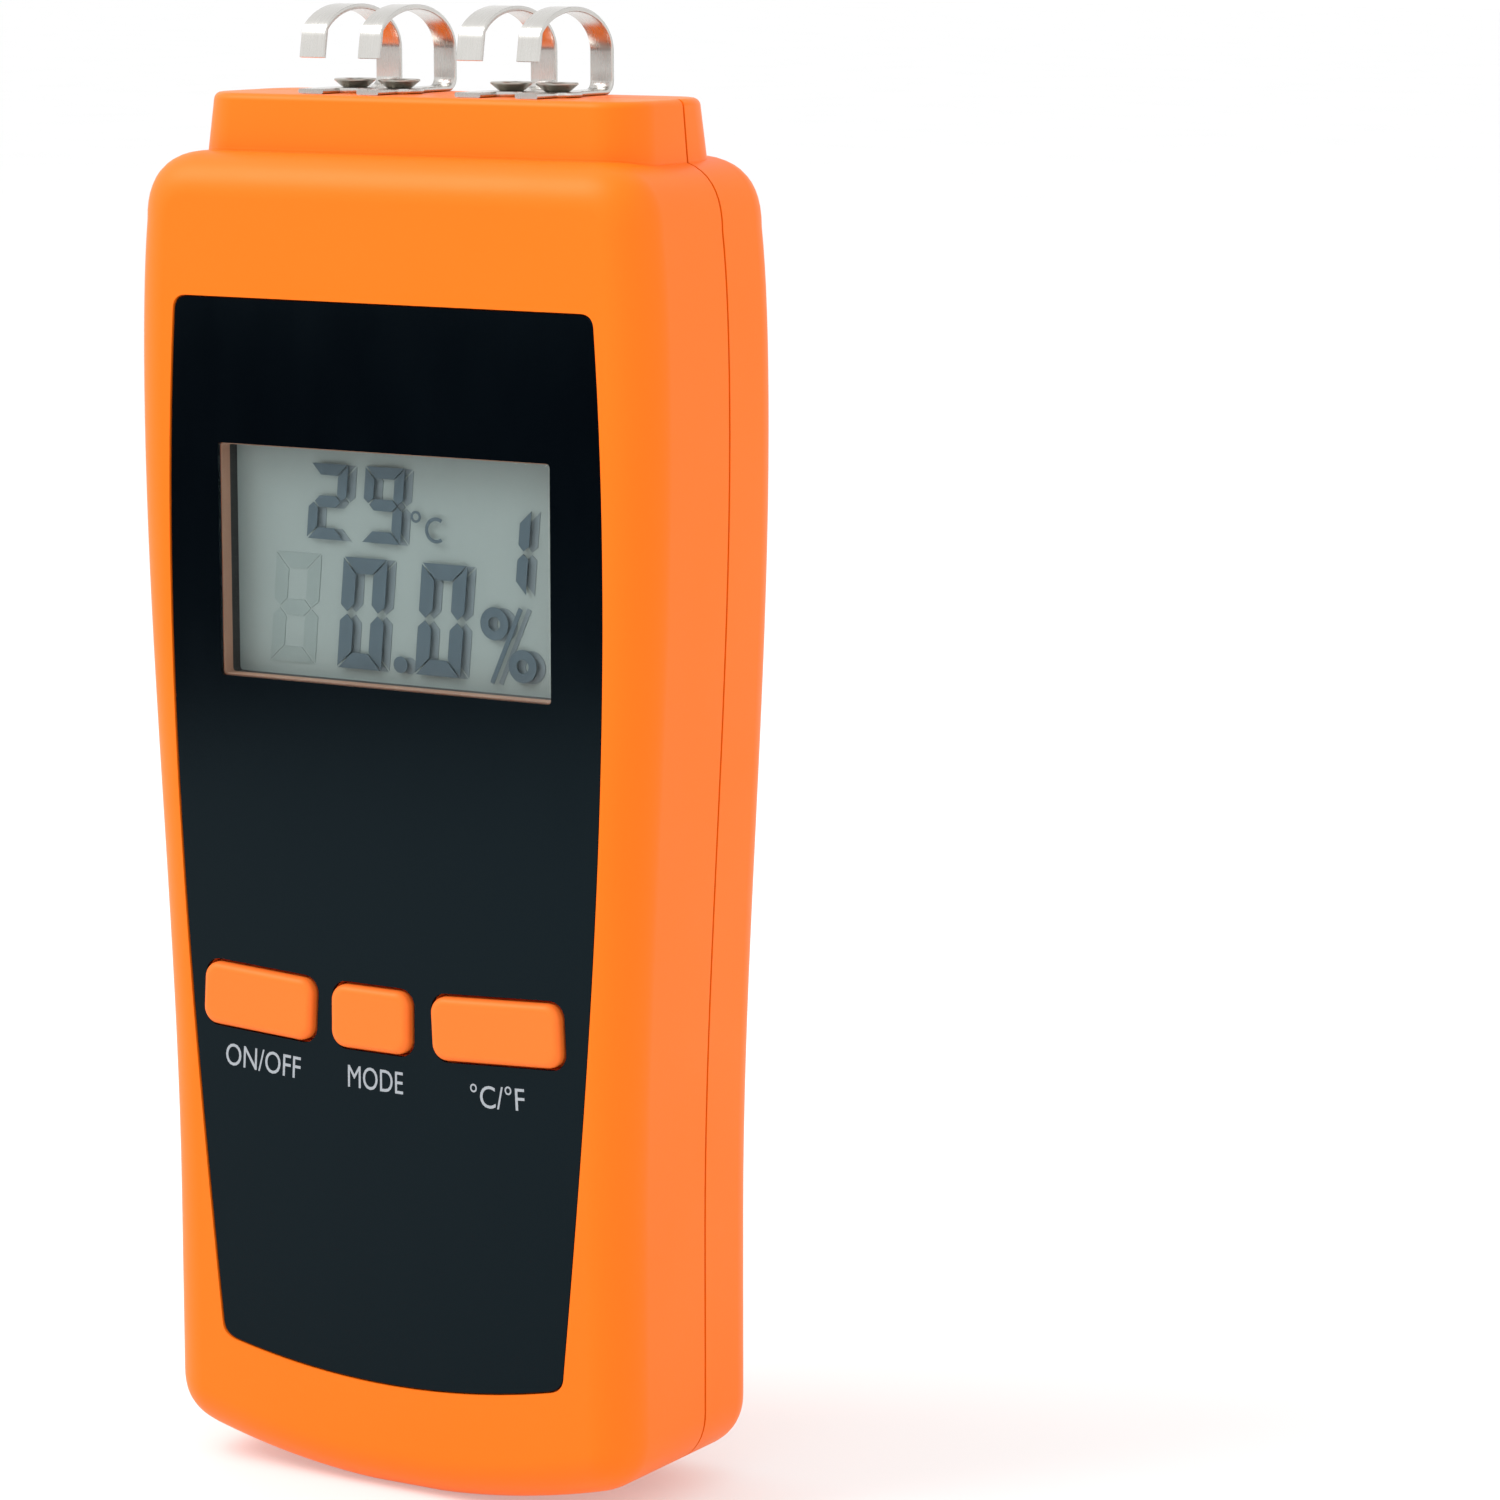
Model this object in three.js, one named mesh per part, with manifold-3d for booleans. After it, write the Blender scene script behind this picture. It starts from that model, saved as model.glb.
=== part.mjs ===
// Handheld moisture meter with four sprung strip electrodes on its neck.
// Millimetres, +Z up towards the electrodes, front face towards -Y.
// The origin is under the middle of the standing meter.

import * as THREE from 'three';
import { mergeVertices } from 'three/addons/utils/BufferGeometryUtils.js';
import Module from 'manifold-3d';

const wasm = await Module();
wasm.setup();

// ---------- driving dimensions ----------

const fitGap = 0.3;                 // between pieces that lie against each other
const seatGap = 0.15;               // between a piece and what it is soldered or seated on
const pressGap = 0.03;              // between pieces that a screw presses together
const overlap = 1;                  // how far a cut runs past the solid it cuts

// Case, seen from the front
const caseWidth = 62;               // at the widest place, beside the display
const slimWidth = 56.1;             // the narrower lower half, grows if the cells need more
const shoulderWidth = 60.4;
const caseHeight = 134.9;           // without the neck
const widestHeight = 108;
const gripHeight = 28;
const bottomRadius = 90;
const bottomFlat = 9;               // the width the meter stands on
const bottomCorner = 4.6;
const shoulderCorner = 7;

// Case, seen from the side
const bodyDepth = 26;               // grows if the cells need more
const seamDepth = 15.1;             // parting line behind the front face
const seamGap = 0.3;
const edgeRadius = 4.5;
const wall = 2;
const lipThickness = 0.8;
const lipLength = 1.2;

// Neck
const neckWidth = 52.4;
const neckDepth = 17.2;
const neckHeight = 5.7;
const neckSetback = 5;              // behind the front face
const neckCorner = 4.6;
const neckTopEdge = 0.7;
const neckDraft = 5 * Math.PI / 180;

// Front panel and display
const panelTop = 120.7;
const panelTopWidth = 50;
const panelBottomWidth = 41.8;
const panelBottomHeight = 11.3;
const panelBottomRadius = 89;
const panelCorner = 1.6;
const panelThickness = 0.5;
const panelRecess = 0.7;
const panelClearance = 0.1;
const panelGlue = 0.05;
const panelBulge = 2.4;             // how far the side curves swell at the top
const panelFlare = 3.6;             // and how fast they open at the bottom
const windowWidth = 39.6;
const windowHeight = 23.5;
const windowCentre = 94.3;
const windowCorner = 0.4;
const glassMargin = 2.2;            // display glass round the window
const glassThickness = 2.2;
const zebraHeight = 2;
const holderWall = 1.2;

// Keys
const keyHeight = 6.4;
const keyLevel = 49.05;
const keyProud = 0.8;
const keyTravel = 0.8;
const keyCorner = 1.6;
const keyFlange = 0.8;
const keyFlangeThickness = 0.7;
const keySmileRadius = 275;         // the row of keys lies on this arc
const keys = [
  { name: 'power', x: -15.4, width: 13.4 },
  { name: 'mode', x: -1.65, width: 9.4 },
  { name: 'unit', x: 13.35, width: 15.2 },
];

// Circuit board
const boardDepth = 8;
const boardThickness = 1.6;
const boardWidth = 47;
const boardBottom = 32;
const boardTop = 122;
const switchSize = 6;
const switchHeight = 3.2;
const plungerRadius = 1.7;
const boardCorner = 3;
const postRadius = 2;               // posts that carry the board
const postInset = 4;                // from the board's lower and upper ends
const lowerPostSpread = 19;
const upperPostSpread = 17;
const mainChip = { x: -8, z: 98, width: 10, height: 10, thickness: 1.5 };
const inputChip = { x: 0, z: 112, width: 5, height: 4, thickness: 1.4 };
const buzzer = { x: 11, z: 97, radius: 4.8, hole: 1, thickness: 4.5 };

// Batteries
const cellRadius = 5.25;
const cellLength = 44.5;
const cellNubRadius = 1.9;
const cellNub = 1;
const cellSpacing = 0.5;            // between neighbouring cells, and behind them
const cellCount = 4;
const cellSpring = 5.4;
const contactThickness = 0.4;
const contactHalf = 4;
const springBaseRadius = 3.2;
const springTipRadius = 2;
const springWire = 0.3;
const springTurns = 4;
const cellStart = 22.4;             // height of the lowest battery end
const pocketWall = 1.2;
const pocketBottom = 14.2;
const ribThickness = 1.2;

// Battery door
const doorThickness = 1.8;
const doorMargin = 0.05;            // past each side of the battery pocket
const doorBottom = 17.2;
const doorHeight = 61.5;
const doorTabWidth = 6;
const doorTabSpread = 13;
const doorTabReach = 2.2;
const doorTabThickness = 1;
const doorGrooves = 4;
const doorGroovePitch = 2.4;
const doorGrooveLength = 16;
const doorGrooveDepth = 0.5;

// Electrodes
const electrodeWidth = 2.6;
const electrodeThickness = 0.5;
const electrodePlaces = [-12.9, -5.85, 5.85, 12.9];
const screwOffsets = [1.7, 0, 1.7, 0]; // from a strip's middle to its screw
const electrodeHeight = 8.8;        // top of the arch above the neck
const electrodeArchRise = 4.3;      // the curved part of that height
const electrodeSpan = 13.8;         // from the upright stem to the tip
const electrodeStemDepth = 20.8;
const electrodeTab = 2.8;           // straight tip below the crease
const electrodeArchTurn = 150 * Math.PI / 180;
const electrodeEye = 2.5;           // round pad under the screw head
const screwDepth = 12.6;            // electrode screws behind the front face
const screwRadius = 1.15;
const screwHeadRadius = 2.1;
const screwHeadHeight = 0.9;
const screwLength = 5.5;
const screwHole = 0.2;              // clearance round a screw
const insertRadius = 1.7;
const insertLength = 4.2;
const insertCover = 1.8;            // plastic left above an insert
const leadRadius = 0.6;
const leadDrop = 6;                 // straight down from an insert
const leadBend = 2;                 // behind the board before it turns in
const leadEntry = 4.5;              // soldered this far below the board's top
const leadDraw = 0.8;               // share of the electrode's place across the board

// Case screws
const caseScrewPlaces = [[-22, 127], [22, 127], [-15, 8.8], [15, 8.8]];
const caseScrewHeadRadius = 2.4;
const caseScrewHeadHeight = 1.8;
const caseScrewSeat = 21.4;         // underside of the head behind the front
const crossWidth = 0.7;             // screwdriver cross in every screw
const crossLength = 2.4;
const crossDepth = 0.8;
const caseScrewLength = 9;
const bossRadius = 3.4;
const bossWall = 1.4;

// ---------- places that follow from them ----------

const neckTop = caseHeight + neckHeight;
const boardBack = boardDepth + boardThickness;
const pocketFloor = boardBack + 2 * fitGap;
const cellDepth = pocketFloor + pocketWall + fitGap + cellRadius;
const cellPitch = 2 * cellRadius + cellSpacing;
const caseDepth = Math.max(bodyDepth,
  cellDepth + cellRadius + cellSpacing + doorTabThickness + fitGap + wall);
const frontFace = keyProud - (caseDepth + keyProud) / 2;
const cellEnd = cellStart + cellLength + cellSpring + fitGap;
const pocketHalf = (cellCount - 1) * cellPitch / 2 + cellRadius + fitGap;
const gripWidth = Math.max(slimWidth, 2 * (pocketHalf + pocketWall + fitGap + wall));
const doorWidth = 2 * (pocketHalf + doorMargin);
const doorFront = caseDepth - doorThickness;
const doorTop = doorBottom + doorHeight;
const pocketTop = doorTop - pocketWall;
const glassDepth = wall + fitGap;
const glassBack = glassDepth + glassThickness;
const glassHalfWidth = windowWidth / 2 + glassMargin;
const glassHalfHeight = windowHeight / 2 + glassMargin;
const switchDepth = boardDepth - switchHeight;
const keyFlangeBack = wall + fitGap + keyFlangeThickness;
const insertTop = neckTop - insertCover;
const insertBottom = insertTop - insertLength;
const footTop = neckTop + electrodeThickness;
const electrodeScrewPlaces = electrodePlaces.map((x, i) => x + screwOffsets[i]);
const postPlaces = [
  [-lowerPostSpread, boardBottom + postInset], [lowerPostSpread, boardBottom + postInset],
  [-upperPostSpread, boardTop - postInset], [upperPostSpread, boardTop - postInset],
];

// ---------- materials ----------

function material(color, roughness, metalness = 0) {
  return new THREE.MeshStandardMaterial({ color, roughness, metalness });
}

const orangePlastic = material(0xff7a1a, 0.5);
const blackPanel = material(0x0c0e12, 0.15);
const clearPlastic = material(0xd8e4e0, 0.05);
const displayGlass = material(0x93a39e, 0.2);
const whitePlastic = material(0xe8e8e4, 0.6);
const darkPlastic = material(0x1c1c1e, 0.55);
const boardGreen = material(0x1d5a34, 0.5);
const steel = material(0xc4c4c0, 0.3, 1);
const brass = material(0xc09a4c, 0.35, 1);
const batteryWrap = material(0x2b3540, 0.35);
const rubberGrey = material(0x6d6f72, 0.8);
const leadRed = material(0xb02a20, 0.6);

// ---------- solids ----------

function toSolid(geometry) {
  const bare = geometry.clone();
  bare.deleteAttribute('normal');
  bare.deleteAttribute('uv');
  const merged = mergeVertices(bare, 1e-4);
  return new wasm.Manifold(new wasm.Mesh({
    numProp: 3,
    vertProperties: new Float32Array(merged.attributes.position.array),
    triVerts: new Uint32Array(merged.index.array),
  }));
}

function toGeometry(solid) {
  const mesh = solid.getMesh();
  const geometry = new THREE.BufferGeometry();
  geometry.setAttribute('position', new THREE.BufferAttribute(mesh.vertProperties, 3));
  geometry.setIndex(new THREE.BufferAttribute(mesh.triVerts, 1));
  geometry.computeVertexNormals();
  return geometry;
}

function named(name, solid, look) {
  const mesh = new THREE.Mesh(toGeometry(solid), look);
  mesh.name = name;
  return mesh;
}

// An outline drawn in X and Z, extruded along Y between two depths. `edge`
// rounds both faces, and each curve of the outline has `steps` straight pieces.
function slab(outline, front, back, { edge = 0, steps = 4 } = {}) {
  const geometry = new THREE.ExtrudeGeometry(outline, {
    depth: back - front - 2 * edge,
    bevelEnabled: edge > 0,
    bevelThickness: edge,
    bevelSize: edge,
    bevelOffset: -edge,
    bevelSegments: 3,
    curveSegments: steps,
  });
  geometry.rotateX(Math.PI / 2);
  geometry.translate(0, back - edge, 0);
  return toSolid(geometry);
}

function box(x0, x1, y0, y1, z0, z1) {
  const geometry = new THREE.BoxGeometry(x1 - x0, y1 - y0, z1 - z0);
  geometry.translate((x0 + x1) / 2, (y0 + y1) / 2, (z0 + z1) / 2);
  return toSolid(geometry);
}

// A round bar along Y between two depths.
function barY(x, z, radius, front, back, sides = 16) {
  const geometry = new THREE.CylinderGeometry(radius, radius, back - front, sides);
  geometry.translate(x, (front + back) / 2, z);
  return toSolid(geometry);
}

// A round bar along Z between two heights.
function barZ(x, y, radius, bottom, top, sides = 16) {
  const geometry = new THREE.CylinderGeometry(radius, radius, top - bottom, sides);
  geometry.rotateX(Math.PI / 2);
  geometry.translate(x, y, (bottom + top) / 2);
  return toSolid(geometry);
}

function roundedRectangle(width, height, corner) {
  const w = width / 2 - corner;
  const h = height / 2 - corner;
  const outline = new THREE.Shape();
  outline.absarc(w, h, corner, 0, Math.PI / 2);
  outline.absarc(-w, h, corner, Math.PI / 2, Math.PI);
  outline.absarc(-w, -h, corner, Math.PI, 1.5 * Math.PI);
  outline.absarc(w, -h, corner, 1.5 * Math.PI, 2 * Math.PI);
  return outline;
}

// A flat metal strip bent along a line of points in Y and Z.
function bentStrip(line, thickness, x, width) {
  const near = [];
  const far = [];
  line.forEach((point, i) => {
    const before = line[Math.max(i - 1, 0)];
    const after = line[Math.min(i + 1, line.length - 1)];
    const along = after.clone().sub(before).normalize();
    const side = new THREE.Vector2(-along.y, along.x).multiplyScalar(thickness / 2);
    near.push(point.clone().add(side));
    far.unshift(point.clone().sub(side));
  });
  const geometry = new THREE.ExtrudeGeometry(new THREE.Shape([...near, ...far]), {
    depth: width,
    bevelEnabled: false,
  });
  const sideways = new THREE.Matrix4().makeBasis(
    new THREE.Vector3(0, 1, 0),
    new THREE.Vector3(0, 0, 1),
    new THREE.Vector3(1, 0, 0),
  );
  geometry.applyMatrix4(sideways);
  geometry.translate(x - width / 2, 0, 0);
  return toSolid(geometry);
}

// A round wire along a curve.
function wire(curve, radius, steps, sides) {
  const points = Array.from({ length: sides }, (_, i) => {
    const turn = 2 * Math.PI * i / sides;
    return new THREE.Vector2(radius * Math.cos(turn), radius * Math.sin(turn));
  });
  const geometry = new THREE.ExtrudeGeometry(new THREE.Shape(points), {
    extrudePath: curve,
    steps,
    bevelEnabled: false,
  });
  return toSolid(geometry);
}

class Coil extends THREE.Curve {
  constructor(x, y, start, end, startRadius, endRadius, turns) {
    super();
    Object.assign(this, { x, y, start, end, startRadius, endRadius, turns });
  }

  getPoint(t) {
    const radius = THREE.MathUtils.lerp(this.startRadius, this.endRadius, t);
    const turn = 2 * Math.PI * this.turns * t;
    const height = THREE.MathUtils.lerp(this.start, this.end, t);
    return new THREE.Vector3(this.x + radius * Math.cos(turn), this.y + radius * Math.sin(turn), height);
  }
}

// ---------- case ----------

function arcLevel(centre, radius, x) {
  return centre - Math.sqrt(radius * radius - x * x);
}

// The bottom is an arc with a short flat in its middle.
const bottomCentre = Math.sqrt(bottomRadius ** 2 - (bottomFlat / 2) ** 2);

function caseOutline(inset) {
  const shoulder = shoulderWidth / 2 - inset;
  const widest = caseWidth / 2 - inset;
  const grip = gripWidth / 2 - inset;
  const top = caseHeight - inset;
  const upper = shoulderCorner - inset;
  const lower = bottomCorner - inset;
  const radius = bottomRadius - inset;
  const corner = arcLevel(bottomCentre, radius, grip);
  const arcEnd = grip - lower;
  const angle = Math.asin(arcEnd / radius);
  const flatAngle = Math.acos((bottomCentre - inset) / radius);
  const above = (widestHeight + top) / 2;
  const taper = (widestHeight - gripHeight) / 3;
  const outline = new THREE.Shape();
  outline.moveTo(shoulder - upper, top);
  outline.lineTo(-shoulder + upper, top);
  outline.quadraticCurveTo(-shoulder, top, -shoulder, top - upper);
  outline.quadraticCurveTo(-widest, above, -widest, widestHeight);
  outline.bezierCurveTo(-widest, widestHeight - taper, -grip, gripHeight + taper, -grip, gripHeight);
  outline.lineTo(-grip, corner + lower);
  outline.quadraticCurveTo(-grip, corner, -arcEnd, arcLevel(bottomCentre, radius, arcEnd));
  outline.absarc(0, bottomCentre, radius, 1.5 * Math.PI - angle, 1.5 * Math.PI - flatAngle);
  outline.absarc(0, bottomCentre, radius, 1.5 * Math.PI + flatAngle, 1.5 * Math.PI + angle);
  outline.quadraticCurveTo(grip, corner, grip, corner + lower);
  outline.lineTo(grip, gripHeight);
  outline.bezierCurveTo(grip, gripHeight + taper, widest, widestHeight - taper, widest, widestHeight);
  outline.quadraticCurveTo(widest, above, shoulder, top - upper);
  outline.quadraticCurveTo(shoulder, top, shoulder - upper, top);
  return outline;
}

// The neck tapers upwards by its draft angle.
function neckBlock(inset) {
  const middle = neckSetback + neckDepth / 2;
  const bottom = caseHeight - shoulderCorner - edgeRadius;
  const top = neckTop - inset;
  const outline = roundedRectangle(neckWidth - 2 * inset, neckDepth - 2 * inset, neckCorner - inset / 2);
  const geometry = new THREE.ExtrudeGeometry(outline, {
    depth: top - bottom - 2 * neckTopEdge,
    bevelThickness: neckTopEdge,
    bevelSize: neckTopEdge,
    bevelOffset: -neckTopEdge,
    bevelSegments: 2,
    curveSegments: 5,
  });
  geometry.translate(0, 0, bottom + neckTopEdge);
  const places = geometry.attributes.position;
  for (let i = 0; i < places.count; i += 1) {
    const shrink = (places.getZ(i) - caseHeight) * Math.tan(neckDraft);
    places.setX(i, places.getX(i) * (1 - 2 * shrink / neckWidth));
    places.setY(i, places.getY(i) * (1 - 2 * shrink / neckDepth) + middle);
  }
  return toSolid(geometry);
}

function caseBlock(inset) {
  const block = slab(caseOutline(inset), inset, caseDepth - inset, { edge: edgeRadius - inset });
  return block.add(neckBlock(inset));
}

// Everything of the case between two depths.
function slice(front, back) {
  return box(-caseWidth, caseWidth, front, back, -caseWidth, neckTop + caseWidth);
}

function panelOutline(inset) {
  const top = panelTop - inset;
  const topHalf = panelTopWidth / 2 - inset;
  const bottomHalf = panelBottomWidth / 2 - inset;
  const centre = panelBottomHeight + panelBottomRadius;
  const radius = panelBottomRadius - inset;
  const end = bottomHalf - panelCorner;
  const angle = Math.asin(end / radius);
  const level = arcLevel(centre, radius, bottomHalf);
  const side = level + panelCorner;
  const bulge = topHalf + panelBulge;
  const flare = bottomHalf + panelFlare;
  const third = (top - side) / 3;
  const outline = new THREE.Shape();
  outline.moveTo(topHalf - panelCorner, top);
  outline.lineTo(-topHalf + panelCorner, top);
  outline.quadraticCurveTo(-topHalf, top, -topHalf, top - panelCorner);
  outline.bezierCurveTo(-bulge, top - third, -flare, side + third, -bottomHalf, side);
  outline.quadraticCurveTo(-bottomHalf, level, -end, arcLevel(centre, radius, end));
  outline.absarc(0, centre, radius, 1.5 * Math.PI - angle, 1.5 * Math.PI + angle);
  outline.quadraticCurveTo(bottomHalf, level, bottomHalf, side);
  outline.bezierCurveTo(flare, side + third, bulge, top - third, topHalf, top - panelCorner);
  outline.quadraticCurveTo(topHalf, top, topHalf - panelCorner, top);
  return outline;
}

function windowBlock(inset, front, back) {
  const outline = roundedRectangle(windowWidth - 2 * inset, windowHeight - 2 * inset, windowCorner);
  return slab(outline, front, back, { steps: 2 }).translate([0, 0, windowCentre]);
}

// A key's outline grown by `margin`, standing in its place on the arc.
function keyBlock(key, margin, front, back) {
  const outline = roundedRectangle(key.width + 2 * margin, keyHeight + 2 * margin, keyCorner);
  const tilt = Math.asin(key.x / keySmileRadius);
  const rise = keySmileRadius * (1 - Math.cos(tilt));
  return slab(outline, front, back, { steps: 3 })
    .rotate([0, -THREE.MathUtils.radToDeg(tilt), 0])
    .translate([key.x, 0, keyLevel + rise]);
}

function frontShell() {
  let shell = caseBlock(0).intersect(slice(-overlap, seamDepth)).subtract(caseBlock(wall));
  const lip = caseBlock(wall - lipThickness).subtract(caseBlock(wall))
    .intersect(slice(seamDepth - overlap, seamDepth + lipLength));
  shell = shell.add(lip);
  for (const [x, z] of caseScrewPlaces) {
    shell = shell.add(barY(x, z, bossRadius, wall / 2, caseScrewSeat - bossWall - fitGap));
    shell = shell.subtract(barY(x, z, screwRadius + screwHole, caseScrewSeat - caseScrewLength - overlap, caseDepth));
  }
  for (const [x, z] of postPlaces) {
    shell = shell.add(barY(x, z, postRadius, (panelRecess + wall) / 2, boardDepth - fitGap, 12));
  }
  for (const x of electrodeScrewPlaces) {
    const boss = barZ(x, screwDepth, insertRadius + pocketWall, insertBottom, neckTop - wall / 2);
    shell = shell.add(boss.intersect(slice(0, seamDepth)));
    shell = shell.subtract(barZ(x, screwDepth, insertRadius + screwHole, insertBottom - overlap, insertTop + fitGap));
    shell = shell.subtract(barZ(x, screwDepth, screwRadius + screwHole, insertBottom, neckTop + overlap));
  }
  shell = shell.subtract(slab(panelOutline(0), -overlap, panelRecess, { steps: 6 }));
  shell = shell.subtract(windowBlock(0, -overlap, wall + overlap));
  for (const key of keys) {
    shell = shell.subtract(keyBlock(key, fitGap, -overlap, wall + overlap));
  }
  return named('front_shell', shell, orangePlastic);
}

function rearShell() {
  const start = seamDepth + seamGap;
  const inside = caseDepth - wall;
  let shell = caseBlock(0).intersect(slice(start, caseDepth + overlap)).subtract(caseBlock(wall));
  const rebate = caseBlock(wall - lipThickness - seamGap).intersect(slice(0, start + lipLength));
  shell = shell.subtract(rebate);
  const outer = pocketHalf + pocketWall;
  const pocket = box(-outer, outer, pocketFloor, inside + seatGap, pocketBottom - pocketWall, doorTop);
  const hollow = box(-pocketHalf, pocketHalf, pocketFloor + pocketWall, inside + 2 * seatGap, pocketBottom, pocketTop);
  shell = shell.add(pocket).subtract(hollow);
  for (const level of [cellStart - 2 * fitGap - contactThickness - ribThickness,
    cellEnd + 2 * fitGap + contactThickness]) {
    shell = shell.add(box(-pocketHalf - pocketWall / 2, pocketHalf + pocketWall / 2,
      pocketFloor + pocketWall / 2, inside - 2 * pocketWall, level, level + ribThickness));
  }
  const doorHalf = doorWidth / 2 + fitGap;
  shell = shell.subtract(box(-doorHalf, doorHalf, inside, caseDepth + overlap, doorBottom - fitGap, doorTop + fitGap));
  for (const [x, z] of caseScrewPlaces) {
    shell = shell.add(barY(x, z, caseScrewHeadRadius + pocketWall, caseScrewSeat - bossWall, inside + wall / 2));
    shell = shell.subtract(barY(x, z, screwRadius + screwHole, 0, caseDepth));
    shell = shell.subtract(barY(x, z, caseScrewHeadRadius + fitGap, caseScrewSeat, caseDepth + overlap));
  }
  return named('rear_shell', shell, orangePlastic);
}

// The door turns on its lower edge, whose two tabs hook under the case.
function batteryDoor() {
  const round = doorThickness / 2;
  const axisLevel = doorBottom + round;
  const half = doorWidth / 2;
  let door = box(-half, half, doorFront, caseDepth, axisLevel, doorTop);
  const edge = new THREE.CylinderGeometry(round, round, doorWidth, 16);
  edge.rotateZ(Math.PI / 2);
  edge.translate(0, caseDepth - round, axisLevel);
  door = door.add(toSolid(edge));
  const tabBack = caseDepth - wall - fitGap;
  for (const side of [-1, 1]) {
    const x = side * doorTabSpread;
    door = door.add(box(x - doorTabWidth / 2, x + doorTabWidth / 2, tabBack - doorTabThickness, tabBack,
      doorBottom - doorTabReach, axisLevel + 2 * doorTabReach));
    door = door.add(box(x - doorTabWidth / 2, x + doorTabWidth / 2, tabBack - doorTabThickness, doorFront + round,
      axisLevel + doorTabReach, axisLevel + 2 * doorTabReach));
  }
  for (let i = 0; i < doorGrooves; i += 1) {
    const level = doorTop - doorGroovePitch * (i + 2);
    door = door.subtract(box(-doorGrooveLength / 2, doorGrooveLength / 2, caseDepth - doorGrooveDepth,
      caseDepth + overlap, level, level + doorGroovePitch / 2));
  }
  return named('battery_door', door, orangePlastic);
}

// Each screw drives in along -Y from the back of the case.
function caseScrews() {
  return caseScrewPlaces.map(([x, z], i) => {
    const shaft = barY(x, z, screwRadius, caseScrewSeat - caseScrewLength, caseScrewSeat + fitGap, 12);
    const head = barY(x, z, caseScrewHeadRadius, caseScrewSeat + seatGap,
      caseScrewSeat + seatGap + caseScrewHeadHeight);
    return named(`case_screw_${i + 1}`, crossSlot(shaft.add(head), (width, length, depth) => {
      const back = caseScrewSeat + seatGap + caseScrewHeadHeight;
      return box(x - width, x + width, back - depth, back + overlap, z - length, z + length);
    }), steel);
  });
}

// Cuts a cross for a screwdriver with two slots at right angles.
function crossSlot(screw, slot) {
  const half = crossWidth / 2;
  const long = crossLength / 2;
  return screw.subtract(slot(half, long, crossDepth)).subtract(slot(long, half, crossDepth));
}

// ---------- front panel, display and keys ----------

function frontPanel() {
  const front = panelRecess - panelThickness - panelGlue;
  const back = panelRecess - panelGlue;
  let overlay = slab(panelOutline(panelClearance), front, back, { steps: 6 });
  overlay = overlay.subtract(windowBlock(0, -overlap, wall));
  for (const key of keys) {
    overlay = overlay.subtract(keyBlock(key, fitGap, -overlap, wall));
  }
  return [
    named('panel_overlay', overlay, blackPanel),
    named('display_window', windowBlock(panelClearance, front, back), clearPlastic),
  ];
}

function display() {
  const low = windowCentre - glassHalfHeight;
  const high = windowCentre + glassHalfHeight;
  const glass = box(-glassHalfWidth, glassHalfWidth, glassDepth, glassBack, low, high);
  const channel = glassBack + fitGap;
  const holderBack = boardDepth - fitGap;
  const reach = glassHalfWidth + fitGap + holderWall;
  let holder = box(-reach, reach, glassDepth, holderBack, low - fitGap - holderWall, high + fitGap + holderWall);
  holder = holder.subtract(box(-glassHalfWidth - fitGap, glassHalfWidth + fitGap, 0, channel,
    low - fitGap, high + fitGap));
  const strips = [];
  for (const [name, bottom] of [['upper', high - zebraHeight - fitGap], ['lower', low + fitGap]]) {
    holder = holder.subtract(box(-glassHalfWidth, glassHalfWidth, glassDepth, boardDepth,
      bottom - fitGap, bottom + zebraHeight + fitGap));
    const strip = box(-glassHalfWidth + holderWall, glassHalfWidth - holderWall, channel, holderBack,
      bottom, bottom + zebraHeight);
    strips.push(named(`contact_strip_${name}`, strip, rubberGrey));
  }
  return [
    named('display_glass', glass, displayGlass),
    named('display_holder', holder, whitePlastic),
    ...strips,
  ];
}

function keySet(key) {
  const cap = keyBlock(key, 0, -keyProud, wall + 2 * fitGap)
    .add(keyBlock(key, keyFlange, wall + fitGap, keyFlangeBack));
  const tilt = Math.asin(key.x / keySmileRadius);
  const level = keyLevel + keySmileRadius * (1 - Math.cos(tilt));
  const start = keyFlangeBack + pressGap;
  const plunger = barY(key.x, level, plungerRadius, start, switchDepth + 2 * fitGap, 12);
  const half = switchSize / 2;
  const well = barY(key.x, level, plungerRadius + fitGap, 0, switchDepth + 3 * fitGap + keyTravel, 12);
  const body = box(key.x - half, key.x + half, switchDepth, boardDepth - seatGap, level - half, level + half);
  return [
    named(`${key.name}_button`, cap, orangePlastic),
    named(`${key.name}_plunger`, plunger, whitePlastic),
    named(`${key.name}_switch`, body.subtract(well), darkPlastic),
  ];
}

// ---------- circuit board ----------

function board() {
  const outline = roundedRectangle(boardWidth, boardTop - boardBottom, boardCorner);
  let plate = slab(outline, boardDepth, boardBack, { steps: 3 }).translate([0, 0, (boardTop + boardBottom) / 2]);
  for (const [x, z] of postPlaces) {
    plate = plate.subtract(barY(x, z, postRadius / 2, 0, boardBack + overlap, 12));
  }
  const onBack = boardBack + seatGap;
  const chip = ({ x, z, width, height, thickness }) => box(x - width / 2, x + width / 2,
    onBack, onBack + thickness, z - height / 2, z + height / 2);
  return [
    named('circuit_board', plate, boardGreen),
    named('main_chip', chip(mainChip), darkPlastic),
    named('input_chip', chip(inputChip), darkPlastic),
    named('buzzer', barY(buzzer.x, buzzer.z, buzzer.radius, onBack, onBack + buzzer.thickness)
      .subtract(barY(buzzer.x, buzzer.z, buzzer.hole, onBack + buzzer.thickness / 2, caseDepth, 12)), darkPlastic),
  ];
}

// ---------- batteries ----------

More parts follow.
